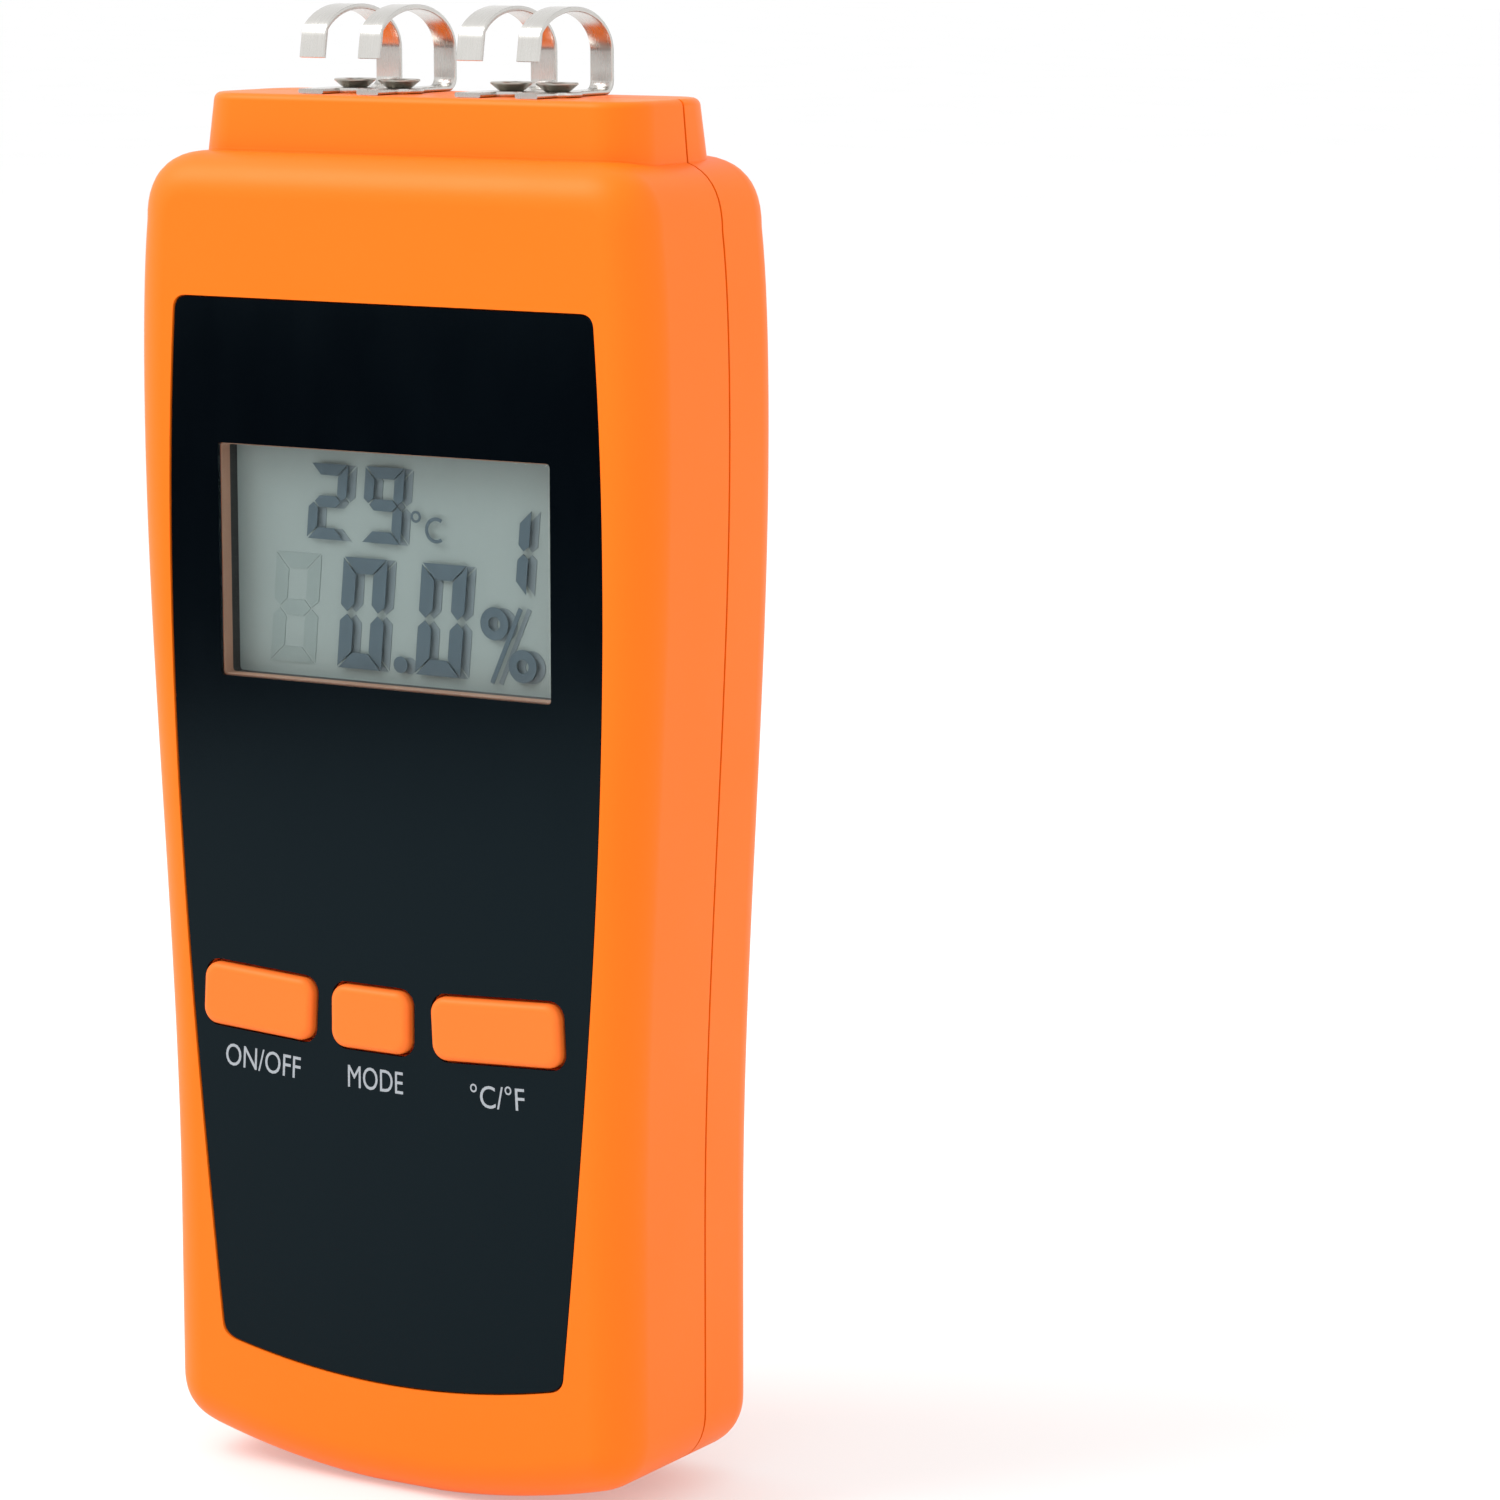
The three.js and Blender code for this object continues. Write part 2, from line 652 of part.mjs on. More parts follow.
// Neighbouring cells stand opposite ways up, so they join in series.
function batteries() {
  const parts = [];
  const plates = { bottom: cellStart - fitGap - contactThickness, top: cellEnd + fitGap };
  for (let i = 0; i < cellCount; i += 1) {
    const x = (i - (cellCount - 1) / 2) * cellPitch;
    const nubUp = i % 2 === 0;
    const low = nubUp ? cellEnd - cellLength : cellStart;
    const bodyLow = nubUp ? low : low + cellNub;
    const body = barZ(x, cellDepth, cellRadius, bodyLow, bodyLow + cellLength - cellNub, 20);
    const nub = barZ(x, cellDepth, cellNubRadius, low, low + cellLength, 12);
    parts.push(named(`battery_cell_${i + 1}`, body.add(nub), batteryWrap));
    const start = nubUp ? cellStart + fitGap : cellEnd - fitGap;
    const end = nubUp ? low - 2 * fitGap : low + cellLength + 2 * fitGap;
    const coil = new Coil(x, cellDepth, start, end, springBaseRadius, springTipRadius, springTurns);
    const spring = wire(coil, springWire, springTurns * 8, 5);
    parts.push(named(`contact_spring_${i + 1}`, spring, steel));
  }
  const contact = (name, first, last, level) => {
    const middle = (cellCount - 1) / 2;
    const plate = box((first - middle) * cellPitch - contactHalf, (last - middle) * cellPitch + contactHalf,
      cellDepth - contactHalf, cellDepth + contactHalf, level, level + contactThickness);
    parts.push(named(name, plate, steel));
  };
  contact('contact_plate_top_left', 0, 0, plates.top);
  contact('contact_plate_top_middle', 1, 2, plates.top);
  contact('contact_plate_top_right', 3, 3, plates.top);
  contact('contact_plate_bottom_left', 0, 1, plates.bottom);
  contact('contact_plate_bottom_right', 2, 3, plates.bottom);
  return parts;
}

// ---------- electrodes ----------

// The strip's centre line, from the stem's foot over the arch to the tip.
function archLine() {
  const half = electrodeSpan / 2;
  const centre = electrodeStemDepth - half;
  const spring = footTop + electrodeHeight - 1.5 * electrodeThickness - electrodeArchRise;
  const line = [new THREE.Vector2(electrodeStemDepth, footTop + fitGap)];
  const steps = 12;
  for (let i = 0; i <= steps; i += 1) {
    const turn = electrodeArchTurn * i / steps;
    line.push(new THREE.Vector2(centre + half * Math.cos(turn), spring + electrodeArchRise * Math.sin(turn)));
  }
  const crease = line[line.length - 1];
  line.push(new THREE.Vector2(crease.x - electrodeThickness, crease.y - electrodeTab));
  return line;
}

function electrode(x, screwX, number) {
  const arch = bentStrip(archLine(), electrodeThickness, x, electrodeWidth);
  const half = electrodeWidth / 2;
  const front = electrodeStemDepth - electrodeSpan;
  const eye = barZ(screwX, screwDepth, electrodeEye, neckTop + pressGap, footTop);
  const foot = box(x - half, x + half, front, electrodeStemDepth + electrodeThickness / 2,
    neckTop + pressGap, footTop);
  const hole = barZ(screwX, screwDepth, screwRadius + screwHole, neckTop - overlap, footTop + overlap, 12);
  const headBase = footTop + pressGap;
  const headTop = headBase + screwHeadHeight;
  const rim = screwHeadHeight / 5;
  const profile = [
    new THREE.Vector2(0, footTop - screwLength),
    new THREE.Vector2(screwRadius, footTop - screwLength),
    new THREE.Vector2(screwRadius, headBase),
    new THREE.Vector2(screwHeadRadius, headTop - rim),
    new THREE.Vector2(screwHeadRadius, headTop),
    new THREE.Vector2(0, headTop),
  ];
  const turned = new THREE.LatheGeometry(profile, 16);
  turned.rotateX(Math.PI / 2);
  turned.translate(screwX, screwDepth, 0);
  const screw = crossSlot(toSolid(turned), (width, length, depth) => box(screwX - width, screwX + width,
    screwDepth - length, screwDepth + length, headTop - depth, headTop + overlap));
  const insert = barZ(screwX, screwDepth, insertRadius, insertBottom, insertTop)
    .subtract(barZ(screwX, screwDepth, screwRadius + screwHole, insertBottom - overlap, insertTop + overlap, 12));
  const inward = leadDraw * screwX;
  const lead = new THREE.CatmullRomCurve3([
    new THREE.Vector3(screwX, screwDepth, insertBottom - fitGap),
    new THREE.Vector3(screwX, screwDepth, insertBottom - leadDrop),
    new THREE.Vector3(inward, screwDepth, boardTop),
    new THREE.Vector3(inward, boardBack + leadBend, boardTop - leadEntry + 2 * seatGap),
    new THREE.Vector3(inward, boardBack + fitGap, boardTop - leadEntry),
  ]);
  return [
    named(`electrode_${number}`, arch, steel),
    named(`electrode_foot_${number}`, foot.add(eye).subtract(hole), steel),
    named(`electrode_screw_${number}`, screw, steel),
    named(`electrode_insert_${number}`, insert, brass),
    named(`electrode_lead_${number}`, wire(lead, leadRadius, 8, 6), leadRed),
  ];
}

// ---------- the meter ----------

const meter = new THREE.Group();
meter.add(frontShell(), rearShell(), batteryDoor(), ...caseScrews());
meter.add(...frontPanel(), ...display());
meter.add(...keys.flatMap(keySet));
meter.add(...board());
meter.add(...batteries());
electrodePlaces.forEach((x, i) => meter.add(...electrode(x, electrodeScrewPlaces[i], i + 1)));
meter.position.y = frontFace;

export default meter;
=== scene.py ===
# %% [markdown]
# # A handheld moisture meter
# The meter has an orange case in two halves, a glossy black panel with a display
# and three keys, and four sprung steel strips on its neck. The imported model, with
# its sizes and moving bodies, is loaded first.

# %% Load the frame
import math

import bmesh
import bpy
from mathutils import Euler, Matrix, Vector


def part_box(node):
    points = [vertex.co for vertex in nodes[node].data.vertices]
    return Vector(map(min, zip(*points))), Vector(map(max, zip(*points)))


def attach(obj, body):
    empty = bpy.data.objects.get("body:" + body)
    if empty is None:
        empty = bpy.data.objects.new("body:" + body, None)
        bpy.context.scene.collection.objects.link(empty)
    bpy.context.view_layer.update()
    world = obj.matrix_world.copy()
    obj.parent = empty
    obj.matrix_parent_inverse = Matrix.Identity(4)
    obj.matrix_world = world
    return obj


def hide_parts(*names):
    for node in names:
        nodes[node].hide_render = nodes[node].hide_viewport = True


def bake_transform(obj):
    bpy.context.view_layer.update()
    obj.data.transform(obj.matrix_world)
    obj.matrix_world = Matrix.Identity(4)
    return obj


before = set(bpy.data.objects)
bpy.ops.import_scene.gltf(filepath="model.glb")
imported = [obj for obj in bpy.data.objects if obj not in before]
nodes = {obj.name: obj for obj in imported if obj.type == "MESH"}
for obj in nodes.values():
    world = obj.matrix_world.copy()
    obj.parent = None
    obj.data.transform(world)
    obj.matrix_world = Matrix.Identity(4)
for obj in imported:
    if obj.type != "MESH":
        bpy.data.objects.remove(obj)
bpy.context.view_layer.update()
print("nodes:", len(nodes))

# %% [markdown]
# The drawing counts depth in millimetres from the front face to the back. Blender
# works in metres about the middle of the case. One function turns a drawn place into
# a Blender one, and the frame's rear shell says where the front face lies.

# %% From the drawing to the scene
MM = 0.001
CASE_DEPTH = 26
front_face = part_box("rear_shell")[1][1] / MM - CASE_DEPTH
print("front face at", round(front_face, 3), "mm")


def place(x, depth, height):
    return Vector((x * MM, (depth + front_face) * MM, height * MM))


def node_box(name):
    """A node's box on the drawing: its lowest and highest corners in millimetres."""
    low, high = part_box(name)
    return (
        (low[0] / MM, low[1] / MM - front_face, low[2] / MM),
        (high[0] / MM, high[1] / MM - front_face, high[2] / MM),
    )


def add_object(name, data):
    """Puts a new object with this data in the scene."""
    made = bpy.data.objects.new(name, data)
    bpy.context.scene.collection.objects.link(made)
    return made


# %% [markdown]
# The camera stands to the right of the meter and a little above, with a long lens,
# so that the front, the right side and the tops of the strips all show.

# %% Camera
CAMERA_TURN = math.radians(30.8)
CAMERA_DIP = math.radians(9.3)
camera_data = bpy.data.cameras.new("camera")
camera_data.lens = 127.2
camera_data.sensor_width = 36
camera_data.clip_start = 0.01
camera = add_object("camera", camera_data)
camera.location = (0.29679, -0.43937, 0.16141)
camera.rotation_euler = Euler((math.pi / 2 - CAMERA_DIP, 0, CAMERA_TURN))
bpy.context.scene.camera = camera
bpy.context.scene.view_settings.view_transform = "Standard"
print("camera is", round(camera.location.length, 3), "m from the foot")

# %% [markdown]
# Materials are written as expressions. A value on a node's socket is wrapped so that
# adding or multiplying two of them makes the Math node, and a finish has one method
# that adds any other node. A node's settings are made before its links.

# %% Shader expressions


class Value:
    """A node's output that can be used in arithmetic."""

    def __init__(self, tree, socket):
        self.tree = tree
        self.socket = socket

    def join(self, operation, *terms):
        node = self.tree.nodes.new("ShaderNodeMath")
        node.operation = operation
        for socket, term in zip(node.inputs, terms):
            connect(self.tree, socket, term)
        return Value(self.tree, node.outputs[0])

    def __add__(self, other):
        return self.join("ADD", self, other)

    def __radd__(self, other):
        return self.join("ADD", other, self)

    def __rmul__(self, other):
        return self.join("MULTIPLY", other, self)

    def __pow__(self, other):
        return self.join("POWER", self, other)


def connect(tree, socket, term):
    if isinstance(term, Value):
        tree.links.new(term.socket, socket)
    elif hasattr(socket.default_value, "__len__") and len(term) < len(socket.default_value):
        socket.default_value = (*term, 1)
    else:
        socket.default_value = term


# %% A finish and its nodes
OBJECT_PLACE = 3
MIX_FACTOR = 0
MIX_FIRST = 6
MIX_SECOND = 7
MIX_COLOUR = 2


class Finish:
    """One material and the nodes that make it."""

    def __init__(self, name):
        self.material = bpy.data.materials.new(name)
        self.material.use_nodes = True
        self.tree = self.material.node_tree
        self.tree.nodes.clear()

    def node(self, kind, sockets=None, output=0, **settings):
        made = self.tree.nodes.new(kind)
        for key, setting in settings.items():
            setattr(made, key, setting)
        for key, term in (sockets or {}).items():
            connect(self.tree, made.inputs[key], term)
        return Value(self.tree, made.outputs[output]) if made.outputs else None

    def place(self):
        return self.node("ShaderNodeTexCoord", output=OBJECT_PLACE)

    def stretch(self, scale):
        return self.node("ShaderNodeMapping", {"Vector": self.place(), "Scale": scale})

    def noise(self, size, detail=3, where=None):
        """Soft random values from 0 to 1 whose spots are about `size` millimetres."""
        sockets = {"Vector": where or self.place(), "Scale": 1 / (size * MM), "Detail": detail}
        return self.node("ShaderNodeTexNoise", sockets)

    def between(self, factor, first, second):
        sockets = {MIX_FACTOR: factor, MIX_FIRST: first, MIX_SECOND: second}
        return self.node("ShaderNodeMix", sockets, output=MIX_COLOUR, data_type="RGBA")

    def relief(self, height, depth):
        """Turns height from 0 to 1 into a relief of `depth` millimetres."""
        return self.node("ShaderNodeBump", {"Strength": 1, "Distance": depth * MM, "Height": height})

    def show(self, shader):
        self.node("ShaderNodeOutputMaterial", {"Surface": shader})
        return self.material

    def surface(self, sockets):
        return self.show(self.node("ShaderNodeBsdfPrincipled", sockets))


print("finishes are made by", Finish.__name__)

# %% [markdown]
# The case is moulded in orange plastic with a satin skin. Faint clouds show where
# the plastic flowed, and a very fine grain softens the highlights. Fingers leave
# duller patches, so the roughness drifts slowly over the surface.

# %% Orange plastic
ORANGE = (0.98, 0.176, 0.008)
ORANGE_DEEP = (0.95, 0.16, 0.005)


def orange_plastic(name, colour, deep):
    finish = Finish(name)
    clouds = finish.noise(30, detail=2)
    grain = finish.noise(0.22, detail=2)
    patches = finish.noise(14, detail=4)
    return finish.surface({
        "Base Color": finish.between(clouds, colour, deep),
        "Roughness": 0.36 + 0.12 * patches + 0.04 * grain,
        "Specular IOR Level": 0.3,
        "Specular Tint": (1, 0.74, 0.45),
        "Normal": finish.relief(grain, 0.006),
    })


orange = orange_plastic("orange_plastic", ORANGE, ORANGE_DEEP)
# The keys' orange is paler than the case's to stand for their stronger gloss: a painted sheen.
painted_sheen_key_orange = orange_plastic("painted_sheen_key_orange", (0.97, 0.188, 0.028), (0.93, 0.17, 0.022))
print("made", orange.name, "and", painted_sheen_key_orange.name)

# %% [markdown]
# The panel is a plastic film printed black on its back and glossy in front. It
# mirrors the room, so its roughness is low, with faint wipe marks that only show in
# the reflections. The film is never quite flat on its glue, hence a long low wave.

# %% Black film and printed labels


def black_film():
    finish = Finish("black_panel")
    wipes = finish.noise(6, detail=5, where=finish.stretch((1, 1, 0.35)))
    wave = finish.noise(26, detail=1)
    return finish.surface({
        "Base Color": finish.between(wipes, (0.0005, 0.0011, 0.0021), (0.0009, 0.0018, 0.0031)),
        "Roughness": 0.1 + 0.08 * wipes,
        "Specular IOR Level": 0.16,
        "Specular Tint": (0.5, 0.85, 1),
        "Normal": finish.relief(wave, 0.03),
    })


def mottled(name, colour, other, size=3, detail=2, roughness=0.35, spread=0.15):
    finish = Finish(name)
    clouds = finish.noise(size, detail)
    return finish.surface({
        "Base Color": finish.between(clouds, colour, other),
        "Roughness": roughness + spread * clouds,
    })


film = black_film()
ink = mottled("label_ink", (0.27, 0.30, 0.33), (0.40, 0.43, 0.46), 0.25, 3, 0.4, 0.2)
print("made", film.name, "and", ink.name)

# %% [markdown]
# The window is clear plastic. A glass shader would keep the lamps from the display
# behind it, so a transparent shader is mixed with a glossy one, by Schlick's rule
# for how a mirror grows towards a glancing angle.

# %% Clear window
PANE_MIRROR = 0.04
FACING = 1


def clear_pane():
    finish = Finish("clear_window")
    facing = finish.node("ShaderNodeLayerWeight", {"Blend": 0.5}, output=FACING)
    smears = finish.noise(5, detail=4)
    clear = finish.node("ShaderNodeBsdfTransparent", {"Color": (0.97, 0.98, 0.98)})
    mirror = finish.node("ShaderNodeBsdfGlossy", {"Roughness": 0.04 + 0.05 * smears})
    share = PANE_MIRROR + (1 - PANE_MIRROR) * facing ** 5
    return finish.show(finish.node("ShaderNodeMixShader", {0: share, 1: clear, 2: mirror}))


pane = clear_pane()
print("made", pane.name)

# %% [markdown]
# A display of this kind is a grey-green reflecting sheet with dark liquid-crystal
# segments a fraction of a millimetre in front of it. The sheet has a fine sparkle.
# Segments that are off still show as a faint tint, in a colour of their own.

# %% Display finishes


def display_sheet():
    finish = Finish("display_sheet")
    sparkle = finish.noise(0.12, detail=2)
    clouds = finish.noise(18, detail=1)
    lit = finish.between(clouds, (0.25, 0.302, 0.292), (0.275, 0.332, 0.32))
    return finish.surface({
        "Base Color": finish.between(0.25 * sparkle, lit, (0.42, 0.47, 0.45)),
        "Roughness": 0.4 + 0.2 * sparkle,
    })


sheet_finish = display_sheet()
segment_on = mottled("segment_on", (0.066, 0.102, 0.125), (0.084, 0.124, 0.148))
segment_off = mottled("segment_off", (0.235, 0.29, 0.28), (0.255, 0.31, 0.298))
segment_shade = mottled("segment_shade", (0.165, 0.205, 0.225), (0.185, 0.23, 0.245))
# The gasket's near-black is partly the foam's own colour and partly painted shade at the display's edge.
dark_gasket_and_painted_shade = mottled("dark_gasket_and_painted_shade", (0.02, 0.021, 0.022), (0.035, 0.034, 0.033))
# The lining's brownish colour is painted shade and a painted pale reflection on the orange window wall.
window_wall_shade_and_reflection = mottled("window_wall_shade_and_reflection", (0.46, 0.25, 0.165), (0.54, 0.31, 0.21))
print("made", sheet_finish.name, "and its segments and rims")

# %% [markdown]
# The strips are rolled spring steel. Rolling leaves fine straight lines along the
# strip, so the noise is stretched a lot. Screws and springs share the recipe with
# other colours and finer marks.

# %% Metals


def metal(name, colour, worn, roughness, stretch, size=0.3):
    finish = Finish(name)
    lines = finish.noise(size, detail=4, where=finish.stretch(stretch))
    smudges = finish.noise(4, detail=3)
    return finish.surface({
        "Base Color": finish.between(smudges, colour, worn),
        "Metallic": 1,
        "Roughness": roughness + 0.1 * lines + 0.08 * smudges,
        "Normal": finish.relief(lines, 0.002),
    })


ROLLED = (1, 0.06, 0.06)
TURNED = (1, 1, 0.2)
DRAWN = (1, 1, 0.1)
strip_steel = metal("electrode_steel", (0.65, 0.637, 0.61), (0.51, 0.497, 0.47), 0.18, ROLLED)
screw_steel = metal("screw_steel", (0.52, 0.50, 0.45), (0.38, 0.36, 0.32), 0.2, TURNED, 0.15)
spring_steel = metal("spring_steel", (0.72, 0.72, 0.72), (0.6, 0.6, 0.6), 0.25, DRAWN, 0.1)
brass = metal("brass", (0.72, 0.52, 0.22), (0.6, 0.41, 0.16), 0.28, DRAWN, 0.2)
print("made", strip_steel.name, screw_steel.name, spring_steel.name, brass.name)

# %% [markdown]
# The hidden parts have finishes as well: plain moulded plastics, rubber, a printed
# board with its copper tracks under green lacquer, and the printed sleeve of a cell.

# %% Plain plastics


def plain(name, colour, shade, roughness, size=0.5, depth=0.005):
    finish = Finish(name)
    grain = finish.noise(size, detail=3)
    clouds = finish.noise(9, detail=2)
    return finish.surface({
        "Base Color": finish.between(clouds, colour, shade),
        "Roughness": roughness + 0.12 * grain,
        "Normal": finish.relief(grain, depth),
    })


white_plastic = plain("white_plastic", (0.72, 0.72, 0.69), (0.64, 0.64, 0.61), 0.45)
black_plastic = plain("black_plastic", (0.014, 0.014, 0.016), (0.024, 0.024, 0.026), 0.45)
grey_rubber = plain("grey_rubber", (0.14, 0.14, 0.15), (0.11, 0.11, 0.12), 0.7, 0.3, 0.01)
red_lead = plain("red_lead", (0.42, 0.02, 0.012), (0.34, 0.014, 0.01), 0.4, 0.8, 0.01)
sleeve = plain("battery_wrap", (0.03, 0.045, 0.065), (0.04, 0.058, 0.08), 0.22, 2, 0.004)
sleeve_band = plain("battery_band", (0.55, 0.56, 0.57), (0.48, 0.49, 0.5), 0.25, 2, 0.004)
print("made six plain plastics and sleeves")

# %% Circuit board
BRICK_MORTAR = 1


def circuit_board():
    finish = Finish("circuit_board")
    upright_place = finish.node("ShaderNodeMapping", {
        "Vector": finish.place(), "Rotation": (math.pi / 2, 0, 0),
    })
    tracks = finish.node("ShaderNodeTexBrick", {
        "Vector": upright_place, "Scale": 120, "Mortar Size": 0.05, "Mortar Smooth": 0.1,
    }, output=BRICK_MORTAR, offset=0.37, squash=0.6)
    weave = finish.noise(0.6, detail=2)
    lacquer = finish.between(weave, (0.012, 0.11, 0.035), (0.016, 0.135, 0.045))
    return finish.surface({
        "Base Color": finish.between(tracks, lacquer, (0.035, 0.26, 0.07)),
        "Roughness": 0.25 + 0.15 * weave,
        "Normal": finish.relief(tracks, 0.03),
    })


board = circuit_board()
print("made", board.name)

# %% [markdown]
# Most shapes here are rings of points joined like the hoops of a barrel and closed
# at both ends. An outline drawn at several depths makes a slab with rounded edges,
# and a profile turned about an axis makes a screw or a boss. Both are closed solids,
# so they can be joined and cut like real stock.

# %% Skinning rings of points


def closed_mesh(name, shape):
    """A mesh from a bmesh, with all its faces pointing out."""
    bmesh.ops.recalc_face_normals(shape, faces=shape.faces)
    mesh = bpy.data.meshes.new(name)
    shape.to_mesh(mesh)
    shape.free()
    return mesh


def skin(name, rings):
    """A closed solid from rings that all have the same number of points."""
    shape = bmesh.new()
    loops = [[shape.verts.new(point) for point in ring] for ring in rings]
    for near, far in zip(loops, loops[1:]):
        for i in range(len(near)):
            shape.faces.new((near[i - 1], near[i], far[i], far[i - 1]))
    shape.faces.new(loops[0])
    shape.faces.new(loops[-1])
    return add_object(name, closed_mesh(name, shape))


def slab(name, outline, profile):
    """Skins outline(inset) at each (depth, inset) of the profile."""
    return skin(name, [
        [place(x, depth, height) for x, height in outline(inset)]
        for depth, inset in profile
    ])


def block(name, low, high):
    corners = [(low[0], low[2]), (high[0], low[2]), (high[0], high[2]), (low[0], high[2])]
    return slab(name, lambda inset: corners, [(low[1], 0), (high[1], 0)])


def turned(name, centre, axis, profile, sides=40):
    """Turns (distance, radius) pairs about an axis through `centre`."""
    along = {"X": (1, 0, 0), "Y": (0, 1, 0), "Z": (0, 0, 1)}[axis]
    first = {"X": (0, 1, 0), "Y": (1, 0, 0), "Z": (1, 0, 0)}[axis]
    second = Vector(along).cross(Vector(first))
    rings = []
    for distance, radius in profile:
        ring = []
        for i in range(sides):
            turn = 2 * math.pi * i / sides
            spot = Vector(centre) + distance * Vector(along)
            spot += radius * (math.cos(turn) * Vector(first) + math.sin(turn) * second)
            ring.append(place(*spot))
        rings.append(ring)
    return skin(name, rings)


# %% [markdown]
# Solids are joined and cut with Boolean modifiers, which are applied at once. Then
# edges get a tiny bevel, because a moulded edge always catches a line of light, and
# the shading is smoothed only across shallow angles, so that flat faces stay flat.

# %% Joining and cutting


def settle(piece):
    """Applies the modifiers of a piece."""
    graph = bpy.context.evaluated_depsgraph_get()
    mesh = bpy.data.meshes.new_from_object(piece.evaluated_get(graph))
    mesh.name = piece.name
    piece.modifiers.clear()
    piece.data = mesh


def combine(piece, operation, tools):
    for tool in tools:
        step = piece.modifiers.new(operation, "BOOLEAN")
        step.operation = operation
        step.solver = "EXACT"
        step.object = tool
    settle(piece)
    for tool in tools:
        bpy.data.objects.remove(tool)
    return piece


# %% Softening and dressing
BEVEL_ANGLE = 35


def soften(piece, width):
    step = piece.modifiers.new("edges", "BEVEL")
    step.width = width * MM
    step.segments = 2
    step.limit_method = "ANGLE"
    step.angle_limit = math.radians(BEVEL_ANGLE)
    step.use_clamp_overlap = True
    settle(piece)


def smooth(piece, angle=32):
    piece.data.shade_smooth()
    piece.data.set_sharp_from_angle(angle=math.radians(angle))
    step = piece.modifiers.new("flat faces", "WEIGHTED_NORMAL")
    step.keep_sharp = True
    settle(piece)


def dress(piece, finish, body="case", stands_for=()):
    """Gives a finished piece its finish and the body it rides on."""
    if not piece.data.materials:
        piece.data.materials.append(finish)
    if body:
        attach(piece, body)
    if stands_for:
        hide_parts(*stands_for)
    print(piece.name, "has", len(piece.data.polygons), "faces")
    return piece


# %% [markdown]
# The outline of the case is a row of curves: a short top, round shoulders, sides
# that swell beside the display and draw in to a narrower grip, and a broad curved
# foot with a short flat to stand on. Half of it is drawn and mirrored. Taking an
# inset gives the same outline further in, for the rounded edges and for the inside
# of the wall.

# %% Curves


def bezier(points, steps):
    """Points along a curve with two, three or four control points, without the first."""
    line = []
    for step in range(1, steps + 1):
        t = step / steps
        level = [Vector(point) for point in points]
        while len(level) > 1:
            level = [a.lerp(b, t) for a, b in zip(level, level[1:])]
        line.append(level[0])
    return line


def arc(centre, radius, start, end, steps):
    angles = [start + (end - start) * i / steps for i in range(steps + 1)]
    return [(centre[0] + radius * math.cos(a), centre[1] + radius * math.sin(a)) for a in angles]


def mirrored(half):
    """Closes a right half that runs from the top to the middle of the foot."""
    return [(x, z) for x, z in half] + [(-x, z) for x, z in reversed(half)]


def circle_level(centre, radius, x):
    return centre - math.sqrt(radius * radius - x * x)


def bottom_arc(centre, radius, reach, steps):
    """The broad curve of a foot from x = reach to just before the middle."""
    turn = math.asin(reach / radius)
    low = -math.pi / 2
    return arc((0, centre), radius, low + turn, low + turn / (2 * steps), steps)


# %% Case outline
CASE_HEIGHT = 134.9
SHOULDER_HALF = 30.2
SHOULDER_CORNER = 7
WIDEST_HALF = 31
WIDEST_LEVEL = 108
GRIP_HALF = 28.05
GRIP_LEVEL = 28
BOTTOM_CORNER = 4.6
BOTTOM_RADIUS = 90
BOTTOM_FLAT = 9
EDGE_RADIUS = 4.5
WALL = 2


def case_outline(inset):
    shoulder = SHOULDER_HALF - inset
    widest = WIDEST_HALF - inset
    grip = GRIP_HALF - inset
    top = CASE_HEIGHT - inset
    upper = SHOULDER_CORNER - inset
    lower = BOTTOM_CORNER - inset
    centre = math.sqrt(BOTTOM_RADIUS ** 2 - (BOTTOM_FLAT / 2) ** 2)
    radius = BOTTOM_RADIUS - inset
    corner = circle_level(centre, radius, grip)
    reach = grip - lower
    above = (WIDEST_LEVEL + top) / 2
    taper = (WIDEST_LEVEL - GRIP_LEVEL) / 3
    half = [Vector((shoulder - upper, top))]
    half += bezier([(shoulder - upper, top), (shoulder, top), (shoulder, top - upper)], 12)
    half += bezier([(shoulder, top - upper), (widest, above), (widest, WIDEST_LEVEL)], 8)
    half += bezier([
        (widest, WIDEST_LEVEL), (widest, WIDEST_LEVEL - taper),
        (grip, GRIP_LEVEL + taper), (grip, GRIP_LEVEL),
    ], 20)
    half += bezier([(grip, GRIP_LEVEL), (grip, corner + lower)], 1)
    end = (reach, circle_level(centre, radius, reach))
    half += bezier([(grip, corner + lower), (grip, corner), end], 12)
    half += [Vector((x, max(z, inset))) for x, z in bottom_arc(centre, radius, reach, 14)[1:]]
    return mirrored(half)


print("case outline has", len(case_outline(0)), "points")

# %% [markdown]
# The body is that outline skinned from front to back with both rims rounded. The
# neck is a rounded bar that stands on it and narrows upwards, as a moulding must to
# leave its mould. Joined, they are the block that both shells are cut from; the
# same block drawn smaller is the hollow inside.

# %% Body and neck
NECK_WIDTH = 52.4
NECK_DEPTH = 17.2
NECK_SETBACK = 5
NECK_TOP = CASE_HEIGHT + 5.7
NECK_CORNER = 4.6
NECK_EDGE = 0.7
NECK_DRAFT = math.tan(math.radians(5))
RIM_STEPS = 10


def rounded_rectangle(width, height, corner, steps=6):
    w = width / 2 - corner
    h = height / 2 - corner
    quarter = math.pi / 2
    outline = []
    for i, (x, z) in enumerate([(w, h), (-w, h), (-w, -h), (w, -h)]):
        outline += arc((x, z), corner, i * quarter, (i + 1) * quarter, steps)
    return outline


def rounded_rim(start, radius, steps, inset=0, direction=1):
    """(depth, inset) pairs of a quarter round that starts at a face."""
    rim = []
    for i in range(steps + 1):
        turn = math.pi / 2 * i / steps
        depth = start + direction * radius * (1 - math.cos(turn))
        rim.append((depth, inset + radius * (1 - math.sin(turn))))
    return rim


